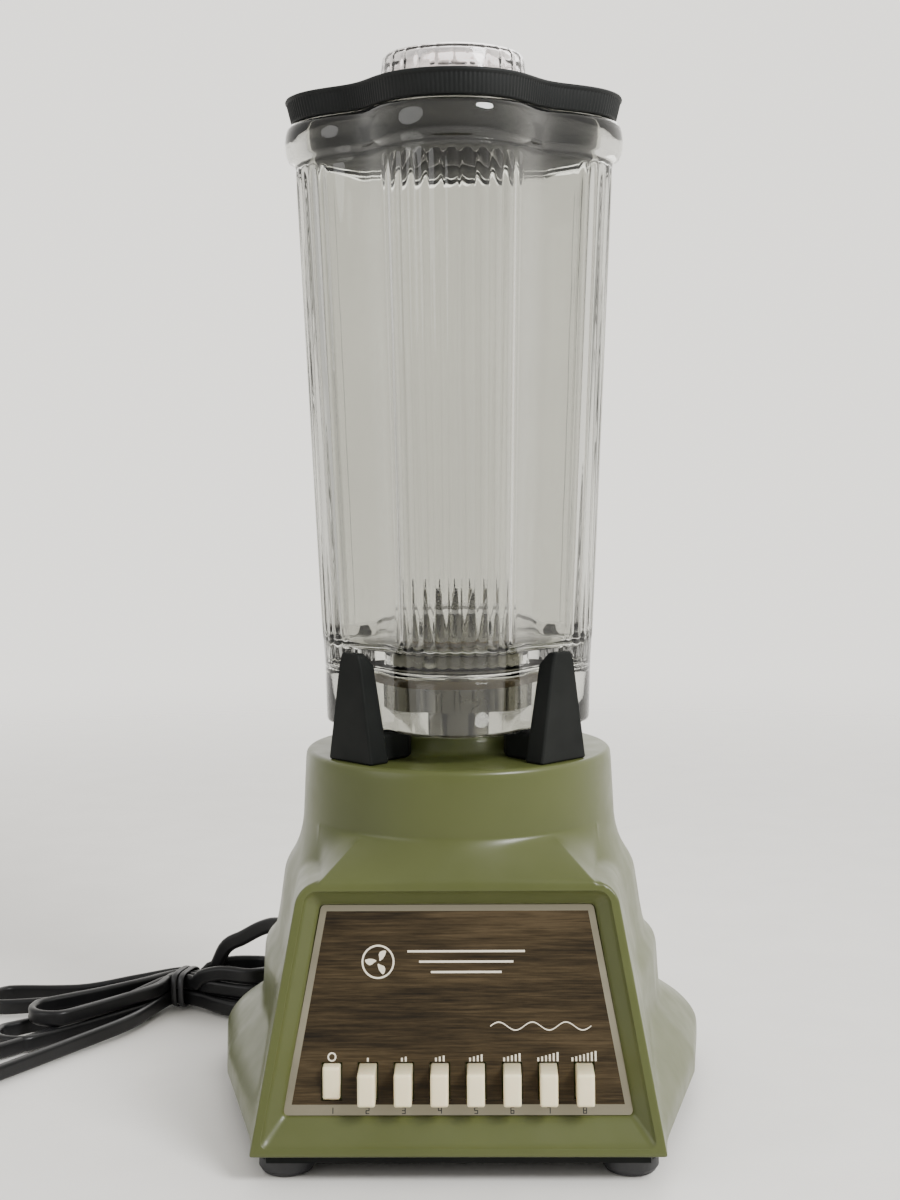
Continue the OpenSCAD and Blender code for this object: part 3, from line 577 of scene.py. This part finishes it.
def make_jar():
    rings = []

    def ring(radius, k, z, relief=0.0):
        rings.append(clover_ring(radius, k, z, relief=relief))

    slope = (JAR_HIGH_R - JAR_BODY_R) / (JAR_TOP - 15 - (FLOOR_Z - 1))

    def body_r(z):
        return JAR_BODY_R + slope * (z - FLOOR_Z + 1)

    ring(JAR_LOW_R - 1.2, 1, JAR_Z)
    ring(JAR_LOW_R - 0.4, 1, JAR_Z + 0.35)
    ring(JAR_LOW_R, 1, JAR_Z + 1.4)
    ring(JAR_LOW_R + 0.25, 1, JAR_Z + 10)
    ring(body_r(FLOOR_Z - 6) - 0.1, 1, FLOOR_Z - 6)
    ribs_low, ribs_high = FLOOR_Z + 2, JAR_TOP - 17
    for t in (0, 1.0, 2.2, 3.6, 5.2, 7.0, 9.5):
        share = math.sqrt(max(0.0, 1 - (1 - t / 9.5) ** 2))
        ring(body_r(ribs_low + t), 1, ribs_low + t, 0.75 * share)
    for i in range(1, 10):
        z = ribs_low + 9.5 + (ribs_high - ribs_low - 19) * i / 10
        ring(body_r(z), 1, z, 0.75)
    for t in (9.5, 7.0, 5.2, 3.6, 2.2, 1.0, 0):
        share = math.sqrt(max(0.0, 1 - (1 - t / 9.5) ** 2))
        ring(body_r(ribs_high - t), 1, ribs_high - t, 0.75 * share)
    bead_low = JAR_TOP - 14.2
    for k in range(9):
        a = -math.pi / 2 + math.pi * k / 8
        mid, half = (bead_low + JAR_TOP) / 2 - 0.2, (JAR_TOP - bead_low) / 2 - 0.2
        swell = BEAD_R - 3.3 + 3.3 * math.cos(a) ** 0.7 if abs(a) < 1.55 else BEAD_R - 3.3
        ring(min(swell, BEAD_R), 1, mid + half * math.sin(a))
    inner_top = BEAD_R - 6.2
    ring(BEAD_R - 4.2, 1, JAR_TOP)
    ring(inner_top + 0.7, 1, JAR_TOP - 0.1)
    ring(inner_top, 1, JAR_TOP - 0.9)
    ring(JAR_HIGH_R - GLASS_T, 1, JAR_TOP - 18)
    for i in range(1, 8):
        t = i / 8
        z = JAR_TOP - 18 - (JAR_TOP - 18 - FLOOR_Z - 6) * t
        ring(JAR_HIGH_R - GLASS_T + (JAR_BODY_R - JAR_HIGH_R) * t, 1, z)
    base_in = JAR_BODY_R - GLASS_T
    for k in range(6):
        a = math.pi / 2 * k / 5
        ring(base_in - 6 + 6 * math.cos(a), 1, FLOOR_Z + 6 - 6 * math.sin(a))
    ring(30, 0.6, FLOOR_Z - 0.0)
    ring(13.6, 0, FLOOR_Z)
    ring(13, 0, FLOOR_Z - 0.6)
    ring(13, 0, FLOOR_Z - FLOOR_T + 0.6)
    ring(13.6, 0, FLOOR_Z - FLOOR_T)
    ring(31, 0.6, FLOOR_Z - FLOOR_T)
    for k in range(5):
        a = math.pi / 2 * k / 4
        ring(base_in - 5 + 4 * math.sin(a), 1, FLOOR_Z - FLOOR_T - 4 + 4 * math.cos(a))
    ring(JAR_LOW_R - GLASS_T + 0.4, 1, JAR_Z + 1.2)
    ring(JAR_LOW_R - GLASS_T + 1.2, 1, JAR_Z)
    jar = lofted("jar_glass_body", rings, MATERIALS["jar_glass"], loop=True)
    return finish_piece(jar, "jar", "jar_glass", "jar_glass")


# ---------------------------------------------------------------- lid and cap

def make_lid():
    lid_top = JAR_TOP + LID_H
    rings = []

    def ring(radius, k, z, knurl=0.0):
        points = []
        count = 1440
        for i in range(count):
            a = TAU * i / count
            r = radius * clover(a, k) + knurl * (0.5 + 0.5 * math.cos(a * 240))
            points.append((r * math.cos(a), r * math.sin(a), z))
        rings.append(points)

    low_r = BEAD_R - 2.6
    ring(low_r - 2.5, 1, JAR_TOP + 0.02)
    ring(low_r - 0.5, 1, JAR_TOP + 0.15)
    ring(low_r - 0.1, 1, JAR_TOP + 0.7)
    ring(low_r, 1, JAR_TOP + 1.3, 0.3)
    ring(LID_R - 0.9, 1, lid_top - 2.2, 0.3)
    ring(LID_R - 0.8, 1, lid_top - 1.7)
    ring(LID_R - 0.1, 1, lid_top - 1.4)
    ring(LID_R, 1, lid_top - 0.9)
    ring(LID_R - 0.3, 1, lid_top - 0.3)
    ring(LID_R - 1.0, 1, lid_top)
    ring(LID_R - 4.0, 1, lid_top - 0.05)
    ring(LID_R - 5.0, 1, lid_top - 0.6)
    ring(36, 0.5, lid_top - 0.6)
    ring(31, 0, lid_top - 0.55)
    ring(30.4, 0, lid_top - 0.05)
    ring(FILLER_R + 0.8, 0, lid_top)
    ring(FILLER_R, 0, lid_top - 0.8)
    ring(FILLER_R, 0, JAR_TOP - PLUG_DEPTH + 0.8)
    ring(FILLER_R + 0.8, 0, JAR_TOP - PLUG_DEPTH)
    plug_r = JAR_HIGH_R - GLASS_T - 1
    ring(40, 0.5, JAR_TOP - PLUG_DEPTH)
    ring(plug_r - 1.2, 1, JAR_TOP - PLUG_DEPTH)
    ring(plug_r - 0.3, 1, JAR_TOP - PLUG_DEPTH + 0.4)
    ring(plug_r, 1, JAR_TOP - PLUG_DEPTH + 1.2)
    ring(BEAD_R - 7.2, 1, JAR_TOP - 1)
    ring(BEAD_R - 7.0, 1, JAR_TOP)
    lid = lofted("lid_moulding", rings, MATERIALS["lid_vinyl"], loop=True)
    return finish_piece(lid, "lid", "lid_vinyl", "lid")


def make_cap():
    """Clear filler cap: domed head, ribbed hollow cup below."""
    seat = JAR_TOP + LID_H
    top = seat + CAP_H
    low = JAR_TOP - 13
    profile = [(0, top - 2.4, 0), (0, top, 0), (9, top - 0.05, 0), (18, top - 0.3, 0), (23, top - 0.9, 0),
               (25.6, top - 1.7, 0), (26.6, top - 2.8, 0), (26.9, top - 4.2, 0), (27.4, top - 9, 0),
               (28.1, seat + 1.2, 0), (28.2, seat + 0.6, 0), (27.8, seat + 0.1, 0), (24.7, seat + 0.05, 0),
               (24.3, seat - 0.5, 0), (24.0, seat - 8, 0), (23.7, low + 0.6, 0), (23.2, low, 0),
               (22.1, low, 0),
               (21.6, low + 0.5, 1), (22.0, low + 6, 1), (22.4, seat - 3, 1), (23.2, seat + 0.5, 1),
               (24.5, seat + 2.5, 1), (24.6, seat + 7, 1), (24.2, top - 3.8, 0), (20, top - 2.7, 0),
               (10, top - 2.45, 0)]
    rings, count, ribs = [], 384, 24
    for radius, height, ribbed in profile:
        ring = []
        for i in range(count):
            a = TAU * i / count
            bulge = 0.5 * ribbed * max(0.0, math.cos(a * ribs)) ** 2
            r = max(radius - bulge, 0.001)
            ring.append((r * math.cos(a), r * math.sin(a), height))
        rings.append(ring)
    cap = lofted("cap_moulding", rings, MATERIALS["cap_clear"], loop=True)
    return finish_piece(cap, "lid_cap", "cap_clear", "lid_cap")


# ---------------------------------------------------------------- housing

# Share of the footprint at each height: the three rounded shoulders of the moulding.
TIERS = [(9, 1), (14, 1), (16.5, 0.99), (19, 0.955), (21.5, 0.905), (24, 0.845), (26.5, 0.77), (29, 0.69),
         (31.5, 0.61), (33.5, 0.555), (36, 0.522), (40, 0.51), (50, 0.49), (53.5, 0.478), (56, 0.45),
         (58, 0.405), (60, 0.362), (63, 0.33), (70, 0.29), (80, 0.245), (85, 0.218), (88.5, 0.175),
         (91.5, 0.125), (94.5, 0.08), (98, 0.04), (102, 0.012), (106, 0)]
FOOTPRINT = [(-64, -80, 4), (64, -80, 4), (SIDE_HALF - REAR_R, HALF_DEPTH - REAR_R, REAR_R),
             (REAR_R - SIDE_HALF, HALF_DEPTH - REAR_R, REAR_R), (SIDE_MID - FLANK_R, 0, FLANK_R),
             (FLANK_R - SIDE_MID, 0, FLANK_R)]
BLOCK_TOP = 107.0
FRAME_ROUND = 7.0


def tier_share(z):
    """Smooth interpolation of TIERS."""
    if z <= TIERS[0][0]:
        return TIERS[0][1]
    for i, ((z0, s0), (z1, s1)) in enumerate(zip(TIERS, TIERS[1:])):
        if z <= z1:
            zp, sp = TIERS[max(i - 1, 0)]
            zn, sn = TIERS[min(i + 2, len(TIERS) - 1)]
            h = z1 - z0
            m0 = (s1 - sp) / (z1 - zp) * h
            m1 = (sn - s0) / (zn - z0) * h
            t = (z - z0) / h
            return ((2 * t ** 3 - 3 * t ** 2 + 1) * s0 + (t ** 3 - 2 * t ** 2 + t) * m0
                    + (3 * t ** 2 - 2 * t ** 3) * s1 + (t ** 3 - t ** 2) * m1)
    return 0.0


def tier_radius(z, directions):
    """Polar radius of the rounded tiers at height z in each direction."""
    s = tier_share(z)
    collar = COLLAR_FOOT_R - (COLLAR_FOOT_R - COLLAR_R) * max(0, z - 100) / (COLLAR_TOP - 100)
    circles = [(s * x, s * y, (1 - s) * collar + s * r) for x, y, r in FOOTPRINT]
    fine = 1440
    outline = []
    for i in range(fine):
        a = TAU * i / fine
        u = (math.cos(a), math.sin(a))
        x, y, r = max(circles, key=lambda c: c[0] * u[0] + c[1] * u[1] + c[2])
        px, py = x + r * u[0], y + r * u[1]
        outline.append((math.atan2(py, px) % TAU, math.hypot(px, py)))
    outline.sort()
    radii, k = [], 0
    n = len(outline)
    for d in directions:
        while k < n and outline[k][0] < d:
            k += 1
        a0, r0 = outline[k - 1]
        a1, r1 = outline[k % n]
        if k == 0:
            a0 -= TAU
        if k == n:
            a1 += TAU
        t = (d - a0) / max(a1 - a0, 1e-9)
        # straight edges stay straight: interpolate along the chord
        x0, y0, x1, y1 = r0 * math.cos(a0), r0 * math.sin(a0), r1 * math.cos(a1), r1 * math.sin(a1)
        cross = (x1 - x0) * math.sin(d) - (y1 - y0) * math.cos(d)
        if abs(cross) > 1e-9:
            radii.append(abs(((x1 - x0) * y0 - (y1 - y0) * x0) / cross))
        else:
            radii.append(r0 + (r1 - r0) * t)
    return radii


def soft_min(values, k):
    """Smallest of the values with a rounding of about k between close ones."""
    low = min(values)
    return low - k * math.log(sum(math.exp(-(v - low) / k) for v in values))


def soft_max(a, b, k):
    return -soft_min([-a, -b], k)


def nose_radius(z, direction):
    """Polar radius of the block that carries the front frame."""
    cx, cy = math.cos(direction), math.sin(direction)
    up = min(z, FRAME_TOP) - SKIRT_Z
    front = HALF_DEPTH - up * math.tan(FRAME_LEAN)
    half = FRONT_HALF - (FRONT_HALF - FRAME_TOP_HALF) * up / (FRAME_TOP - SKIRT_Z)
    near_top = max(0.0, min(z, FRAME_TOP) - (FRAME_TOP - FRAME_ROUND))
    half -= FRAME_ROUND - math.sqrt(max(0.0, FRAME_ROUND ** 2 - near_top ** 2))
    reach = [1e3]
    if cy < -1e-6:
        reach.append(front / -cy)
    if cy > 1e-6:
        reach.append(24 / cy)
    draft = 0.075
    # flank: |x| = half + draft * (y + front)
    for hand in (1, -1):
        closing = hand * cx - draft * cy
        if closing > 1e-6:
            reach.append((half + draft * front) / closing)
    return soft_min(reach, 0.35)


def housing_radius(z, directions):
    tiers = tier_radius(z, directions)
    if z > BLOCK_TOP + 3:
        return tiers
    out = []
    for r, d in zip(tiers, directions):
        nose = nose_radius(z, d)
        if z > FRAME_TOP:
            t = (z - FRAME_TOP) / (BLOCK_TOP - FRAME_TOP)
            nose += (COLLAR_FOOT_R - 0.6 - nose) * min(1.0, t) if nose > COLLAR_FOOT_R else 0.0
        if z > BLOCK_TOP:
            nose -= (z - BLOCK_TOP) * 2
        out.append(soft_max(r, nose, 0.6))
    return out


def front_directions(count):
    """Directions round the housing, closer together over the front corners."""
    directions = []
    for i in range(count):
        a = TAU * i / count
        directions.append(a)
    for corner in (math.atan2(-HALF_DEPTH, FRONT_HALF) % TAU, math.atan2(-HALF_DEPTH, -FRONT_HALF) % TAU,
                   math.atan2(-66, 54) % TAU, math.atan2(-66, -54) % TAU):
        for i in range(-24, 25):
            directions.append((corner + math.radians(i * 0.16)) % TAU)
    return sorted(set(round(d, 6) for d in directions))


def make_housing():
    directions = front_directions(540)
    heights = [SKIRT_Z, SKIRT_Z + 0.3, SKIRT_Z + 0.8]
    z = SKIRT_Z + 1.6
    while z < BLOCK_TOP + 4:
        heights.append(z)
        z += 0.9 if z < 97 else 0.6
    heights += [112, 118, 123, 127]
    rings = []
    for z in heights:
        lift = max(0.0, SKIRT_Z + 0.8 - z)
        edge = 0.8 - math.sqrt(max(0.0, 0.64 - lift * lift))
        radii = housing_radius(z, directions)
        rings.append([((r - edge) * math.cos(d), (r - edge) * math.sin(d), z)
                      for r, d in zip(radii, directions)])
    lip = 2.2
    for k in range(1, 8):
        a = math.pi / 2 * k / 7
        r, h = COLLAR_R - lip + lip * math.cos(a), COLLAR_TOP - lip + lip * math.sin(a)
        rings.append([(r * math.cos(d), r * math.sin(d), h) for d in directions])
    well = RING_R - 3
    crown = [(50, 0.0), (34, 0.1), (29, 0.3), (27.4, 0.9), (26.7, 2.2), (26.1, 4.5), (25.6, 6.2),
             (25.1, 6.8),
             (24.4, RING_H), (23.6, RING_H), (22.9, 6.7), (22.6, 6.0), (well, 1.0), (well - 0.3, 0.3),
             (well - 1.1, 0.05), (15, 0), (14, -0.2), (13.5, -0.8), (13.5, -4.5)]
    for r, h in crown:
        rings.append([(r * math.cos(d), r * math.sin(d), COLLAR_TOP + h) for d in directions])
    # inside of the shell, a wall's thickness in
    for z, wall in ((COLLAR_TOP - 4.5, 3.2), (108, 3.2), (96, 4), (60, 4), (34, 4), (SKIRT_Z, 3.2)):
        if z > 120:
            radii = [COLLAR_R - wall] * len(directions)
            rings.append([(20 * math.cos(d), 20 * math.sin(d), z) for d in directions])
        else:
            radii = [r - wall for r in housing_radius(z, directions)]
            if z < 100:
                lean_y = HALF_DEPTH - (z - SKIRT_Z) * math.tan(FRAME_LEAN) - 9.8
                radii = [min(r, lean_y / max(-math.sin(d), 1e-3)) if math.sin(d) < -1e-3 else r
                         for r, d in zip(radii, directions)]
        rings.append([(r * math.cos(d), r * math.sin(d), z) for r, d in zip(radii, directions)])
    housing = lofted("housing_moulding", rings, MATERIALS["green_plastic"], loop=True)
    cut(housing, recess_cutter())
    return finish_piece(housing, "root", "green_plastic", "housing")


def on_panel(u, v, w):
    """Point from panel coordinates: across, up the lean, outwards."""
    c, s = math.cos(FRAME_LEAN), math.sin(FRAME_LEAN)
    return (u, -HALF_DEPTH + v * s - w * c, SKIRT_Z + v * c + w * s)


def rounded_outline(low, low_half, high, high_half, low_r, high_r, arc=8):
    """Trapezoid with rounded corners in panel coordinates, anticlockwise."""
    corners = [(-low_half, low, low_r), (low_half, low, low_r), (high_half, high, high_r),
               (-high_half, high, high_r)]
    points = []
    n = len(corners)
    for i in range(n):
        x, y, r = corners[i]
        before = Vector(corners[i - 1][:2]) - Vector((x, y))
        after = Vector(corners[(i + 1) % n][:2]) - Vector((x, y))
        before.normalize()
        after.normalize()
        half_angle = before.angle(after) / 2
        reach = r / math.tan(half_angle)
        centre = Vector((x, y)) + (before + after).normalized() * r / math.sin(half_angle)
        a = Vector((x, y)) + before * reach - centre
        b = Vector((x, y)) + after * reach - centre
        a0 = math.atan2(a.y, a.x)
        turn = (math.atan2(b.y, b.x) - a0) % TAU
        for k in range(arc + 1):
            t = a0 + turn * k / arc
            points.append((centre.x + r * math.cos(t), centre.y + r * math.sin(t)))
    return points


def recess_cutter():
    """Sunk front: rounded lip, bevelled sides, seat for the panel."""
    high = (FRAME_TOP - SKIRT_Z) / math.cos(FRAME_LEAN)
    slope = (FRONT_HALF - FRAME_TOP_HALF) / high

    def rim(inset):
        low_v, high_v = inset, high - inset
        low_half = FRONT_HALF - slope * low_v - inset * 1.015
        high_half = FRONT_HALF - slope * high_v - inset * 1.015
        return (low_v, low_half, high_v, high_half, 2.2, max(1.0, FRAME_ROUND - inset + 0.6))

    seat = (PANEL_LOW - 0.12, PANEL_HALF + 0.15, PANEL_HIGH + 0.15, PANEL_TOP_HALF + 0.15, 1.7, 1.7)
    levels = [(3.0, rim(RIM_W - 2.0)), (0.35, rim(RIM_W - 0.8)), (0.12, rim(RIM_W - 0.45)),
              (-0.12, rim(RIM_W - 0.2)), (-0.5, rim(RIM_W))]
    start, depth = rim(RIM_W + 0.1), PANEL_DEPTH + 0.1
    for k in range(1, 6):
        t = k / 5
        levels.append((-0.7 + (-depth + 1.2 + 0.7) * t,
                       tuple(a + (b - a) * (t * 0.9) for a, b in zip(start, seat))))
    levels.append((-depth + 0.5, tuple(a + (b - a) * 0.985 for a, b in zip(start, seat))))
    levels.append((-depth, seat))
    levels.append((-PANEL_DEPTH - PANEL_T - 0.05, seat))
    rings = []
    for w, (low, low_half, top, top_half, low_r, high_r) in levels:
        outline = rounded_outline(low, low_half, top, top_half, low_r, high_r)
        rings.append([on_panel(u, v, w) for u, v in outline])
    return lofted("recess_cutter", rings, None)


# ---------------------------------------------------------------- posts, buttons and marks

def hull_mesh(name, points, mat):
    """Convex body round the points."""
    bm = bmesh.new()
    for p in points:
        bm.verts.new([c * MM for c in p])
    found = bmesh.ops.convex_hull(bm, input=bm.verts)
    spare = {v for v in found["geom_interior"] + found["geom_unused"] if isinstance(v, bmesh.types.BMVert)}
    bmesh.ops.delete(bm, geom=list(spare), context="VERTS")
    bmesh.ops.recalc_face_normals(bm, faces=bm.faces)
    bmesh.ops.dissolve_limit(bm, angle_limit=0.01, verts=bm.verts, edges=bm.edges)
    obj = add_mesh(name, [], [], mat)
    bm.to_mesh(obj.data)
    bm.free()
    obj.data.polygons.foreach_set("use_smooth", [True] * len(obj.data.polygons))
    return obj


def box_corners(x0, x1, half, z0, z1):
    return [(x, y, z) for x in (x0, x1) for y in (-half, half) for z in (z0, z1)]


def make_posts():
    """Four jar guides on the collar: an upright with a sloping head, and a toe towards the middle."""
    toe_top = JAR_Z - COLLAR_TOP
    places = {"post_front_left": 225, "post_front_right": 315, "post_rear_left": 135, "post_rear_right": 45}
    for name, angle in places.items():
        upright = hull_mesh(name + "_upright",
                            box_corners(45.5, 54, 11.5, 0, 1) + box_corners(47, 54, 5.8, 34, 34.5)
                            + box_corners(50.5, 54, 4.2, 38.5, 39), MATERIALS["black_steel"])
        toe = hull_mesh(name + "_toe", box_corners(33, 47, 8, 0, toe_top)
                        + box_corners(28, 30, 4.5, 0, toe_top - 1.5), MATERIALS["black_steel"])
        for part, width in ((upright, 0.9), (toe, 1.4)):
            bevel(part, width, 3, 25)
            turn = Matrix.Rotation(math.radians(angle), 4, "Z")
            part.data.transform(Matrix.Translation((0, 0, COLLAR_TOP * MM)) @ turn)
        bm = bmesh.new()
        for part in (upright, toe):
            bm.from_mesh(part.data)
        post = add_mesh(name + "_moulding", [], [], MATERIALS["black_steel"])
        bm.to_mesh(post.data)
        bm.free()
        for part in (upright, toe):
            bpy.data.objects.remove(part, do_unlink=True)
        finish_piece(post, "root", "black_steel", name)


def make_buttons():
    """Eight ivory push buttons with softly rounded faces; the first rests pressed in."""
    cap_l, stem_l, soft = 16.5, 29.0, 1.1
    half_w, half_h = BUTTON_W / 2, BUTTON_H / 2
    sections = [(-stem_l, 2.0, 3.0, 0.3), (-cap_l, 2.0, 3.0, 0.3), (-cap_l, half_w, half_h, 0.6),
                (-soft - 0.6, half_w - 0.05, half_h - 0.05, 0.7)]
    for k in range(6):
        a = math.pi / 2 * k / 5
        sections.append((-soft + soft * math.sin(a), half_w - 0.05 - soft * (1 - math.cos(a)),
                         half_h - 0.05 - soft * (1 - math.cos(a)), 0.7))
    for i in range(1, BUTTONS + 1):
        reach = BUTTON_OUT - (BUTTON_TRAVEL if i == 1 else 0)
        x, y, z = on_panel((i - (BUTTONS + 1) / 2) * BUTTON_PITCH, BUTTON_ROW, -PANEL_DEPTH)
        rings = [[(x + u, y - reach - out, z + v) for u, v in
                  rounded_outline(-hh, hw, hh, hw, min(r, hw * 0.8), min(r, hw * 0.8), 4)]
                 for out, hw, hh, r in sections]
        button = lofted("button_%d_cap" % i, rings, MATERIALS["ivory_plastic"])
        finish_piece(button, "button_%d" % i, "ivory_plastic", "button_%d" % i)


# Bars of each seven-bar number, then each bar's place as across, up, and whether it lies or stands.
SEGMENTS = {"1": "bc", "2": "abged", "3": "abgcd", "4": "fgbc", "5": "afgcd", "6": "afgedc", "7": "abc",
            "8": "abcdefg"}
BARS = {"a": (0, 1, 1, 0), "b": (0.5, 0.5, 0, 1), "c": (0.5, -0.5, 0, 1), "d": (0, -1, 1, 0),
        "e": (-0.5, -0.5, 0, 1), "f": (-0.5, 0.5, 0, 1), "g": (0, 0, 1, 0)}


def printed(name, shapes, finish):
    """Thin raised print on the panel from outlines in panel coordinates."""
    low, high = -PANEL_DEPTH - 0.05, -PANEL_DEPTH + 0.07
    points, faces = [], []
    for shape in shapes:
        base, n = len(points), len(shape)
        points += [on_panel(u, v, low) for u, v in shape] + [on_panel(u, v, high) for u, v in shape]
        faces.append(tuple(base + k for k in range(n - 1, -1, -1)))
        faces.append(tuple(base + n + k for k in range(n)))
        faces += [(base + k, base + (k + 1) % n, base + n + (k + 1) % n, base + n + k) for k in range(n)]
    obj = add_mesh(name, points, faces, MATERIALS[finish], smooth=False)
    face_out(obj)
    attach(obj, "root")
    return obj


def bar(u, v, half_u, half_v):
    return [(u - half_u, v - half_v), (u + half_u, v - half_v), (u + half_u, v + half_v),
            (u - half_u, v + half_v)]


def ring_shapes(u, v, r_out, r_in, count=32):
    shapes = []
    for k in range(count):
        a, b = TAU * k / count, TAU * (k + 1) / count
        shapes.append([(u + r * math.cos(turn), v + r * math.sin(turn))
                       for r, turn in ((r_out, a), (r_out, b), (r_in, b), (r_in, a))])
    return shapes


def make_marks():
    """Numbers under the buttons, speed marks above them, a plain fan emblem with rules, and a wave."""
    digits, marks = [], []
    low_v = PANEL_LOW + 1.5
    for i in range(1, BUTTONS + 1):
        u = (i - (BUTTONS + 1) / 2) * BUTTON_PITCH
        for key in SEGMENTS[str(i)]:
            du, dv, wide, tall = BARS[key]
            digits.append(bar(u + du * 1.0, low_v + dv * 0.95, 0.17 + 0.42 * wide, 0.15 + 0.36 * tall))
        v = BUTTON_ROW + 7.8
        if i == 1:
            marks += ring_shapes(u, v, 1.5, 1.0, 24)
        else:
            for k in range(i - 1):
                marks.append(bar(u + (k - (i - 2) / 2) * 1.3, v - 1.2 + 0.17 * k + 0.3,
                                 0.32, 0.6 + 0.17 * k))
    def wave(t):
        return 11 + 34 * t, 41 + 1.3 * math.sin(TAU * 3 * t)

    for k in range(48):
        (u0, v0), (u1, v1) = wave(k / 48), wave((k + 1) / 48)
        marks.append([(u0, v0 - 0.2), (u1, v1 - 0.2), (u1, v1 + 0.2), (u0, v0 + 0.2)])
    printed("panel_numbers", digits, "print_black")
    u0, v0 = -27.0, 62.0
    marks += ring_shapes(u0, v0, 5.6, 5.0, 48)
    for k in range(3):
        turn = TAU * k / 3 + 0.4
        inner, outer = [], []
        for j in range(9):
            t = j / 8
            r = 0.7 + 3.7 * t
            inner.append((u0 + r * math.cos(turn + 0.5 * t), v0 + r * math.sin(turn + 0.5 * t)))
            wide = 0.75 * math.sin(math.pi * min(1, t * 0.8 + 0.2)) + 0.1
            outer.append((u0 + r * math.cos(turn + 0.5 * t + wide),
                          v0 + r * math.sin(turn + 0.5 * t + wide)))
        for j in range(8):
            marks.append([inner[j], inner[j + 1], outer[j + 1], outer[j]])
    for k in range(3):
        marks.append(bar(3, v0 + 3.4 - 3.4 * k, 20 - 4 * k, 0.35))
    printed("panel_marks", marks, "print_cream")


# ---------------------------------------------------------------- floor and light

def make_stage():
    """Plain pale floor that melts into the backdrop, and soft studio light."""
    floor_mat = material("stage_floor", (0.76, 0.745, 0.715), (0.785, 0.77, 0.74), (0.5, 0.6),
                         grain=30, relief=0.02)
    tree = floor_mat.node_tree
    away = tree.nodes.new("ShaderNodeVectorMath")
    away.operation = "LENGTH"
    tree.links.new(position_of(tree), away.inputs[0])
    fade = tree.nodes.new("ShaderNodeMapRange")
    fade.interpolation_type = "SMOOTHSTEP"
    for key, value in (("From Min", 0.5), ("From Max", 1.3), ("To Min", 1.0), ("To Max", 0.0)):
        fade.inputs[key].default_value = value
    tree.links.new(away.outputs["Value"], fade.inputs["Value"])
    tree.links.new(fade.outputs["Result"], tree.nodes["Principled BSDF"].inputs["Alpha"])
    size = 3.0
    floor = add_mesh("stage_floor", [(-size, -size, -0.0005), (size, -size, -0.0005), (size, size, -0.0005),
                                     (-size, size, -0.0005)], [(0, 1, 2, 3)], floor_mat, scale=1)
    world = bpy.data.worlds.new("studio")
    bpy.context.scene.world = world
    world.use_nodes = True
    tree = world.node_tree
    background = tree.nodes["Background"]
    place = tree.nodes.new("ShaderNodeTexCoord")
    facing = tree.nodes.new("ShaderNodeVectorMath")
    facing.operation = "DOT_PRODUCT"
    tree.links.new(place.outputs["Generated"], facing.inputs[0])
    facing.inputs[1].default_value = (0.5, 1.0, 0.0)
    turn = tree.nodes.new("ShaderNodeMapRange")
    for key, value in (("From Min", -1.0), ("From Max", 1.0), ("To Min", 0.0), ("To Max", 1.0)):
        turn.inputs[key].default_value = value
    tree.links.new(facing.outputs["Value"], turn.inputs["Value"])
    colour = colour_ramp(tree, turn.outputs["Result"], [
        (0.0, (0.3, 0.293, 0.28)), (0.48, (0.5, 0.492, 0.475)), (0.9, (1.0, 0.975, 0.92))])
    tree.links.new(colour, background.inputs["Color"])
    background.inputs["Strength"].default_value = 1.85
    lights = [("key", (0.9, -0.9, 1.2), 0.6, 34), ("fill", (-1.2, -0.9, 0.7), 1.0, 6),
              ("back", (0.3, 1.3, 1.2), 1.0, 7)]
    for name, place, size, power in lights:
        data = bpy.data.lights.new(name, "AREA")
        data.shape = "DISK"
        data.size = size
        data.energy = power
        light = bpy.data.objects.new(name, data)
        light.location = place
        light.rotation_euler = (Vector((0, 0, 0.18)) - Vector(place)).to_track_quat("-Z", "Y").to_euler()
        bpy.context.scene.collection.objects.link(light)


make_camera()
make_materials()
make_lead()
make_jar()
make_lid()
make_cap()
make_housing()
make_posts()
make_buttons()
make_marks()
dress_cad_nodes()
make_stage()
